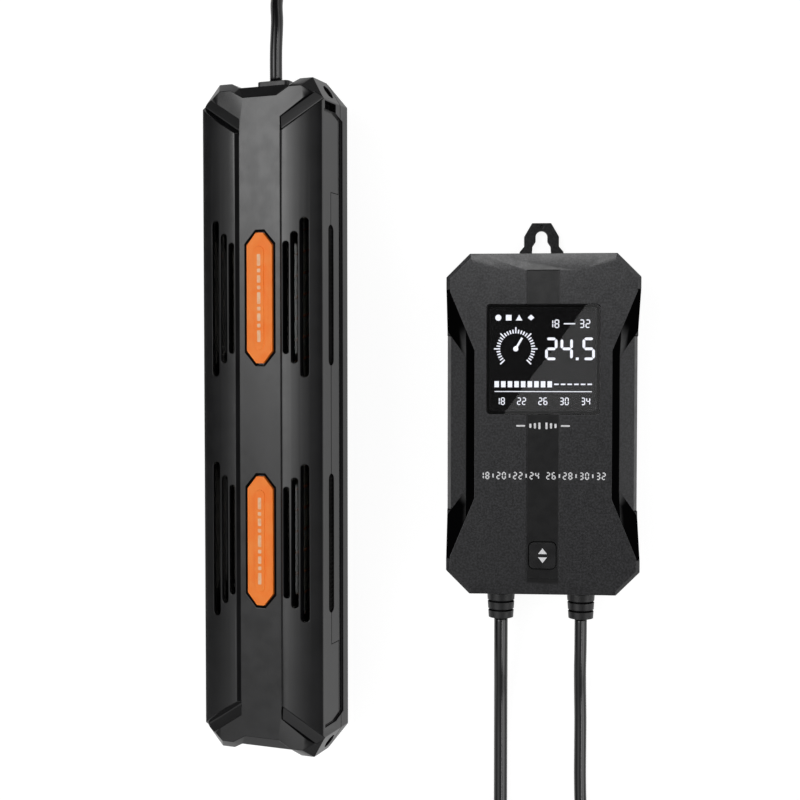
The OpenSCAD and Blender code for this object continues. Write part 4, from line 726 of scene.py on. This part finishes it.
# ---- Display, from its middle: a dial, temperatures, a level row with its scale, and plain signs ----
def dial():
    """Ticks over three quarters of a circle, every fifth one longer, and a hand on its hub."""
    centre, inner, short, long = (-11.6, 4.4), 6.6, 8.2, 9.2
    ticks = [turned_bar(centre, inner, long if k % 5 == 0 else short, 0.55, 225 - 9 * k) for k in range(31)]
    return ticks + [turned_bar(centre, 0, 5.4, 0.9, 60), block(*centre, 2.2, 2.2, 1.09)]


def temperatures():
    """The water's temperature, and above it the lowest and the highest that can be set."""
    now = digits("24.5", 0.8, -0.4, 5.2, 9.6, 1.15)
    lowest, highest = (digits(text, x, 13.2, 2.0, 3.6, 0.45) for text, x in (("18", 2.2), ("32", 15.2)))
    return now + lowest + highest + [block(11, 15, 4.8, 0.5)]


def level_row():
    """Full and empty cells over a line, with five numbers under it."""
    full, cells, cell_y, line_y, number_y = 9, 15, -10.6, -13.7, -19.4
    shapes = [block(-19.6 + 2.8 * k, cell_y, 1.9, 2.6 if k < full else 0.6) for k in range(cells)]
    shapes.append(block(0, line_y, 41, 0.35))
    for k, number in enumerate(("18", "22", "26", "30", "34")):
        shapes += digits(number, -20 + 9 * k, number_y, 1.7, 3.2, 0.4)
    return shapes


def plain_signs():
    """A disc, a square, a triangle and a diamond."""
    low, middle, high = 16.4, 17.6, 18.9
    disc, square = block(-19, middle, 2.6, 2.6, 1.29), block(-14.6, middle, 2.4, 2.4)
    triangle = [(-11.6, low), (-8.8, low), (-10.2, high)]
    diamond = [(-5.2, low), (-3.8, middle), (-5.2, high), (-6.6, middle)]
    return [disc, square, triangle, diamond]


shapes = dial() + temperatures() + level_row() + plain_signs()
marks = prisms("display_marks", [(shape, PANEL_TOP, PANEL_TOP + 0.1, None) for shape in shapes],
               Matrix.Translation(DISPLAY_AT))
add_piece("display_marks", marks, BODY, "display_panel", "display_mark")


# ---- Prints on the face and the button, in place of their words ----
def printed(shapes, y):
    """Thin prints on the face, each at the height of the face or of its sunk middle band."""
    out = []
    for shape in shapes:
        ground = BAND_TOP if max(abs(u) for u, v in shape) < BAND_HALF_W else FACE_TOP
        out.append(([(u, v + y) for u, v in shape], ground - SUNK, ground + INK, None))
    return out


def dash_row():
    """Three bars that shrink outwards and one long dash on each side."""
    bars = [block(side * (1.5 + 1.9 * k), 0, 0.9, 2.8 - 0.5 * k, 0.3) for side in (-1, 1) for k in range(3)]
    return bars + [block(side * 9.4, 0, 3.8, 0.7, 0.3) for side in (-1, 1)]


def number_scale():
    """Even numbers with a tick between each two, apart from the middle two."""
    pitch, out = 7, []
    for k, number in enumerate(("18", "20", "22", "24", "26", "28", "30", "32")):
        x = -24.5 + pitch * k
        out += digits(number, x - 2.1, -1.6, 1.75, 3.2, 0.52)
        out += [block(x + pitch / 2, 0, 0.6, 1.6)] if k not in (3, 7) else []
    return out


prints = printed(dash_row(), -0.4) + printed(number_scale(), -21.6)
add_piece("face_prints", prisms("face_prints", prints, CASE), BODY, "case_plastic", "print_ink")
arrows = [[(-1.9, 0.7), (1.9, 0.7), (0, 3.1)], [(-1.9, -0.7), (0, -3.1), (1.9, -0.7)]]
signs = prisms("button_sign", [(arrow, BUTTON_TOP - SUNK, BUTTON_TOP + INK, None) for arrow in arrows],
               Matrix.Translation(BUTTON_AT))
add_piece("button_sign", signs, "button", "button_plastic", "print_ink")


# ---- Softer edges on the CAD solids, as modifiers over their fixed meshes ----
SHADED_SHARP_OVER, BEVELLED_OVER, FLAT_UNDER = math.radians(32), math.radians(24), math.radians(0.6)
SAME_POINT = 0.002


def smooth_group():
    """Geometry nodes that shade a mesh smooth, apart from its sharp edges."""
    group = bpy.data.node_groups.new("smooth_edges", "GeometryNodeTree")
    group.interface.new_socket("Geometry", in_out="INPUT", socket_type="NodeSocketGeometry")
    group.interface.new_socket("Geometry", in_out="OUTPUT", socket_type="NodeSocketGeometry")
    source, sink = group.nodes.new("NodeGroupInput"), group.nodes.new("NodeGroupOutput")
    angle = group.nodes.new("GeometryNodeInputMeshEdgeAngle")
    sharp = group.nodes.new("FunctionNodeCompare")
    sharp.operation = "GREATER_THAN"
    sharp.inputs["B"].default_value = SHADED_SHARP_OVER
    normals = group.nodes.new("GeometryNodeSetMeshNormal")
    normals.mode = "SHARPNESS"
    normals.inputs["Remove Custom"].default_value = True
    group.links.new(angle.outputs["Unsigned Angle"], sharp.inputs["A"])
    group.links.new(source.outputs[0], normals.inputs["Mesh"])
    group.links.new(sharp.outputs[0], normals.inputs["Edge Sharpness"])
    group.links.new(normals.outputs[0], sink.inputs[0])
    return group


SMOOTH = smooth_group()


def soften(node, width):
    """Bevels a node's sharp edges by a width in millimetres, and shades it smooth between them."""
    piece = nodes[node]
    weld = piece.modifiers.new("weld", "WELD")
    weld.merge_threshold = SAME_POINT * MM
    flat = piece.modifiers.new("flat", "DECIMATE")
    flat.decimate_type = "DISSOLVE"
    flat.angle_limit = FLAT_UNDER
    if width:
        bevel = piece.modifiers.new("bevel", "BEVEL")
        bevel.width = width * MM
        bevel.segments = 2
        bevel.limit_method = "ANGLE"
        bevel.angle_limit = BEVELLED_OVER
        bevel.use_clamp_overlap = False
    piece.modifiers.new("smooth", "NODES").node_group = SMOOTH
    if width:
        piece.modifiers.new("normals", "WEIGHTED_NORMAL").keep_sharp = True


for name, width in {
    "front_guard": 0.25, "rear_guard": 0.25, "upper_badge": 0.2, "lower_badge": 0.2, "lead_gland": 0.35,
    "controller_front_cover": 0.25, "controller_rear_cover": 0.25, "set_button": 0.25, "display_window": 0,
}.items():
    soften(name, width)


# ---- Floor ----
def pale_floor():
    """Pale and matt, and a little brighter to the camera than in reflections."""
    f = Finish("floor", Specular_IOR_Level=0.1, Emission_Color=(1, 1, 1, 1))
    f.colour(f.mix(f.noise(8, 3), (0.20, 0.20, 0.20), (0.24, 0.24, 0.24)))
    f.rough(f.span(f.noise(40, 3), 0.3, 0.7, 0.7, 0.8))
    glow, extra = 0.65, 0.26
    to_camera = f.add("ShaderNodeLightPath").outputs["Is Camera Ray"]
    f.put(f.math("ADD", f.math("MULTIPLY", to_camera, extra), glow), f.shader.inputs["Emission Strength"])
    return f


FLOOR_HALF = 6
mesh = bpy.data.meshes.new("floor")
corners = [(x * FLOOR_HALF, y * FLOOR_HALF, 0) for x, y in ((-1, -1), (1, -1), (1, 1), (-1, 1))]
mesh.from_pydata(corners, [], [(0, 1, 2, 3)])
mesh.materials.append(pale_floor().material)
floor = bpy.data.objects.new("floor", mesh)
scene.collection.objects.link(floor)


# ---- Soft light of a studio as a sky: a long panel on the left, its glow, haze, and a fill on the right ----
def calc(tree, kind, *values):
    """Output of a Math node over sockets and plain values."""
    node = tree.nodes.new("ShaderNodeMath")
    node.operation = kind
    for value, socket in zip(values, node.inputs):
        if isinstance(value, bpy.types.NodeSocket):
            tree.links.new(value, socket)
        else:
            socket.default_value = value
    return node.outputs[0]


def ramp(tree, value, stops):
    """Straight lines through (place, height) pairs, with places and heights of 0 to 1."""
    node = tree.nodes.new("ShaderNodeValToRGB")
    elements = node.color_ramp.elements
    while len(elements) < len(stops):
        elements.new(1)
    for element, (place, height) in zip(elements, stops):
        element.position, element.color = place, (height, height, height, 1)
    tree.links.new(value, node.inputs["Fac"])
    return node.outputs["Color"]


def by_angle(*stops):
    """Stops whose places are degrees from straight up, over to the right."""
    return [(0.5 + angle / 180, height) for angle, height in stops]


def by_reach(*stops):
    """Stops whose places are a direction's Y, from -1 to 1."""
    return [(0.5 + reach / 2, height) for reach, height in stops]


PANEL, GLOW, FILL = 4.7, 1.6, 2.1
world = bpy.data.worlds.new("studio")
scene.world = world
world.use_nodes = True
tree = world.node_tree
split = tree.nodes.new("ShaderNodeSeparateXYZ")
tree.links.new(tree.nodes.new("ShaderNodeTexCoord").outputs["Generated"], split.inputs[0])
over = calc(tree, "ARCTAN2", split.outputs["X"], split.outputs["Z"])
tilt = calc(tree, "MULTIPLY_ADD", over, 1 / math.pi, 0.5)
ahead = calc(tree, "MULTIPLY_ADD", split.outputs["Y"], 0.5, 0.5)
slanted = calc(tree, "ADD", tilt, calc(tree, "MULTIPLY_ADD", split.outputs["Y"], 0.05, -0.0075))
panel = calc(
    tree, "MULTIPLY",
    ramp(tree, slanted, by_angle(
        (-47.2, 0), (-45.6, 1), (-41, 1), (-36, 0.8), (-28, 0.52), (-20.5, 0.29), (-12.5, 0.15),
        (-4.7, 0.055), (1, 0.018), (10, 0.01), (90, 0),
    )),
    ramp(tree, ahead, by_reach(
        (-0.9, 0.02), (-0.6, 0.12), (-0.4, 0.18), (-0.26, 0.26), (-0.22, 0.32), (-0.05, 0.64), (0.05, 0.8),
        (0.12, 0.98), (0.3, 1), (0.45, 0.5), (0.6, 0.05), (0.8, 0),
    )),
)
glow = calc(
    tree, "MULTIPLY",
    ramp(tree, tilt, by_angle(
        (-90, 0.03), (-84, 0.05), (-76, 0.12), (-69, 0.24), (-61, 0.44), (-53, 0.74), (-48.5, 1),
        (-45.6, 0.8), (-44, 0.5), (-30, 0),
    )),
    ramp(tree, ahead, by_reach(
        (-0.8, 0.4), (-0.5, 0.5), (-0.25, 0.55), (-0.15, 0.52), (-0.05, 0.54), (0.05, 0.75), (0.15, 1),
        (0.3, 0.8), (0.5, 0.2), (0.7, 0),
    )),
)
haze = ramp(tree, ahead, by_reach(
    (-0.6, 0.25), (-0.3, 0.25), (-0.1, 0.1), (0.2, 0.05), (0.6, 0.03), (1, 0.02),
))
fill = ramp(tree, tilt, by_angle(
    (24, 0), (34, 0.25), (49, 0.3), (52, 1), (58, 1), (61, 0.32), (80, 0.3), (90, 0.2),
))
radiance = calc(tree, "MULTIPLY_ADD", glow, GLOW, haze)
radiance = calc(tree, "MULTIPLY_ADD", panel, PANEL, radiance)
radiance = calc(tree, "MULTIPLY_ADD", fill, FILL, radiance)
seen = tree.nodes.new("ShaderNodeLightPath").outputs["Is Camera Ray"]
background = tree.nodes["Background"]
tree.links.new(calc(tree, "MAXIMUM", radiance, seen), background.inputs["Strength"])
background.inputs["Color"].default_value = (1, 1, 1, 1)


# ---- Lights that light only the pieces named with them ----
def softbox(name, position, target, size, radiance, on, up=(0, 1, 0)):
    """Rectangular light, sized in metres, that lights the given pieces and nothing else."""
    data = bpy.data.lights.new(name, "AREA")
    data.shape = "RECTANGLE"
    data.size, data.size_y = size
    data.energy = radiance * math.pi * size[0] * size[1]
    light = bpy.data.objects.new(name, data)
    scene.collection.objects.link(light)
    light.matrix_world = look_at(position, target, up)
    lit = bpy.data.collections.new(f"lit_by_{name}")
    for piece in on:
        lit.objects.link(piece)
    light.light_linking.receiver_collection = lit


leads = [heater_lead, mains_lead]
reliefs = [nodes["left_cord_relief"], nodes["right_cord_relief"]]
case_front = [nodes["controller_front_cover"], nodes["set_button"], *reliefs]
window = [nodes["display_window"]]
softbox("overhead", (0.402, -0.056, 1.0), (0.402, -0.056, 0), (0.6, 1.1), 1.15, window, up=(0.602, 0.799, 0))
softbox("controller_key", (0.06, 0.25, 0.27), (0.053, 0.06, 0.03), (0.3, 0.16), 7.0, case_front)
softbox("lead_fill", (0.75, -0.1, 0.65), (0.05, -0.1, 0), (1.0, 1.6), 1.3, leads)
softbox("lead_line", (0.36, -0.1, 0.85), (0.05, -0.1, 0), (0.09, 1.6), 7.0, leads)

scene.view_settings.view_transform = "Standard"
scene.view_settings.look = "None"
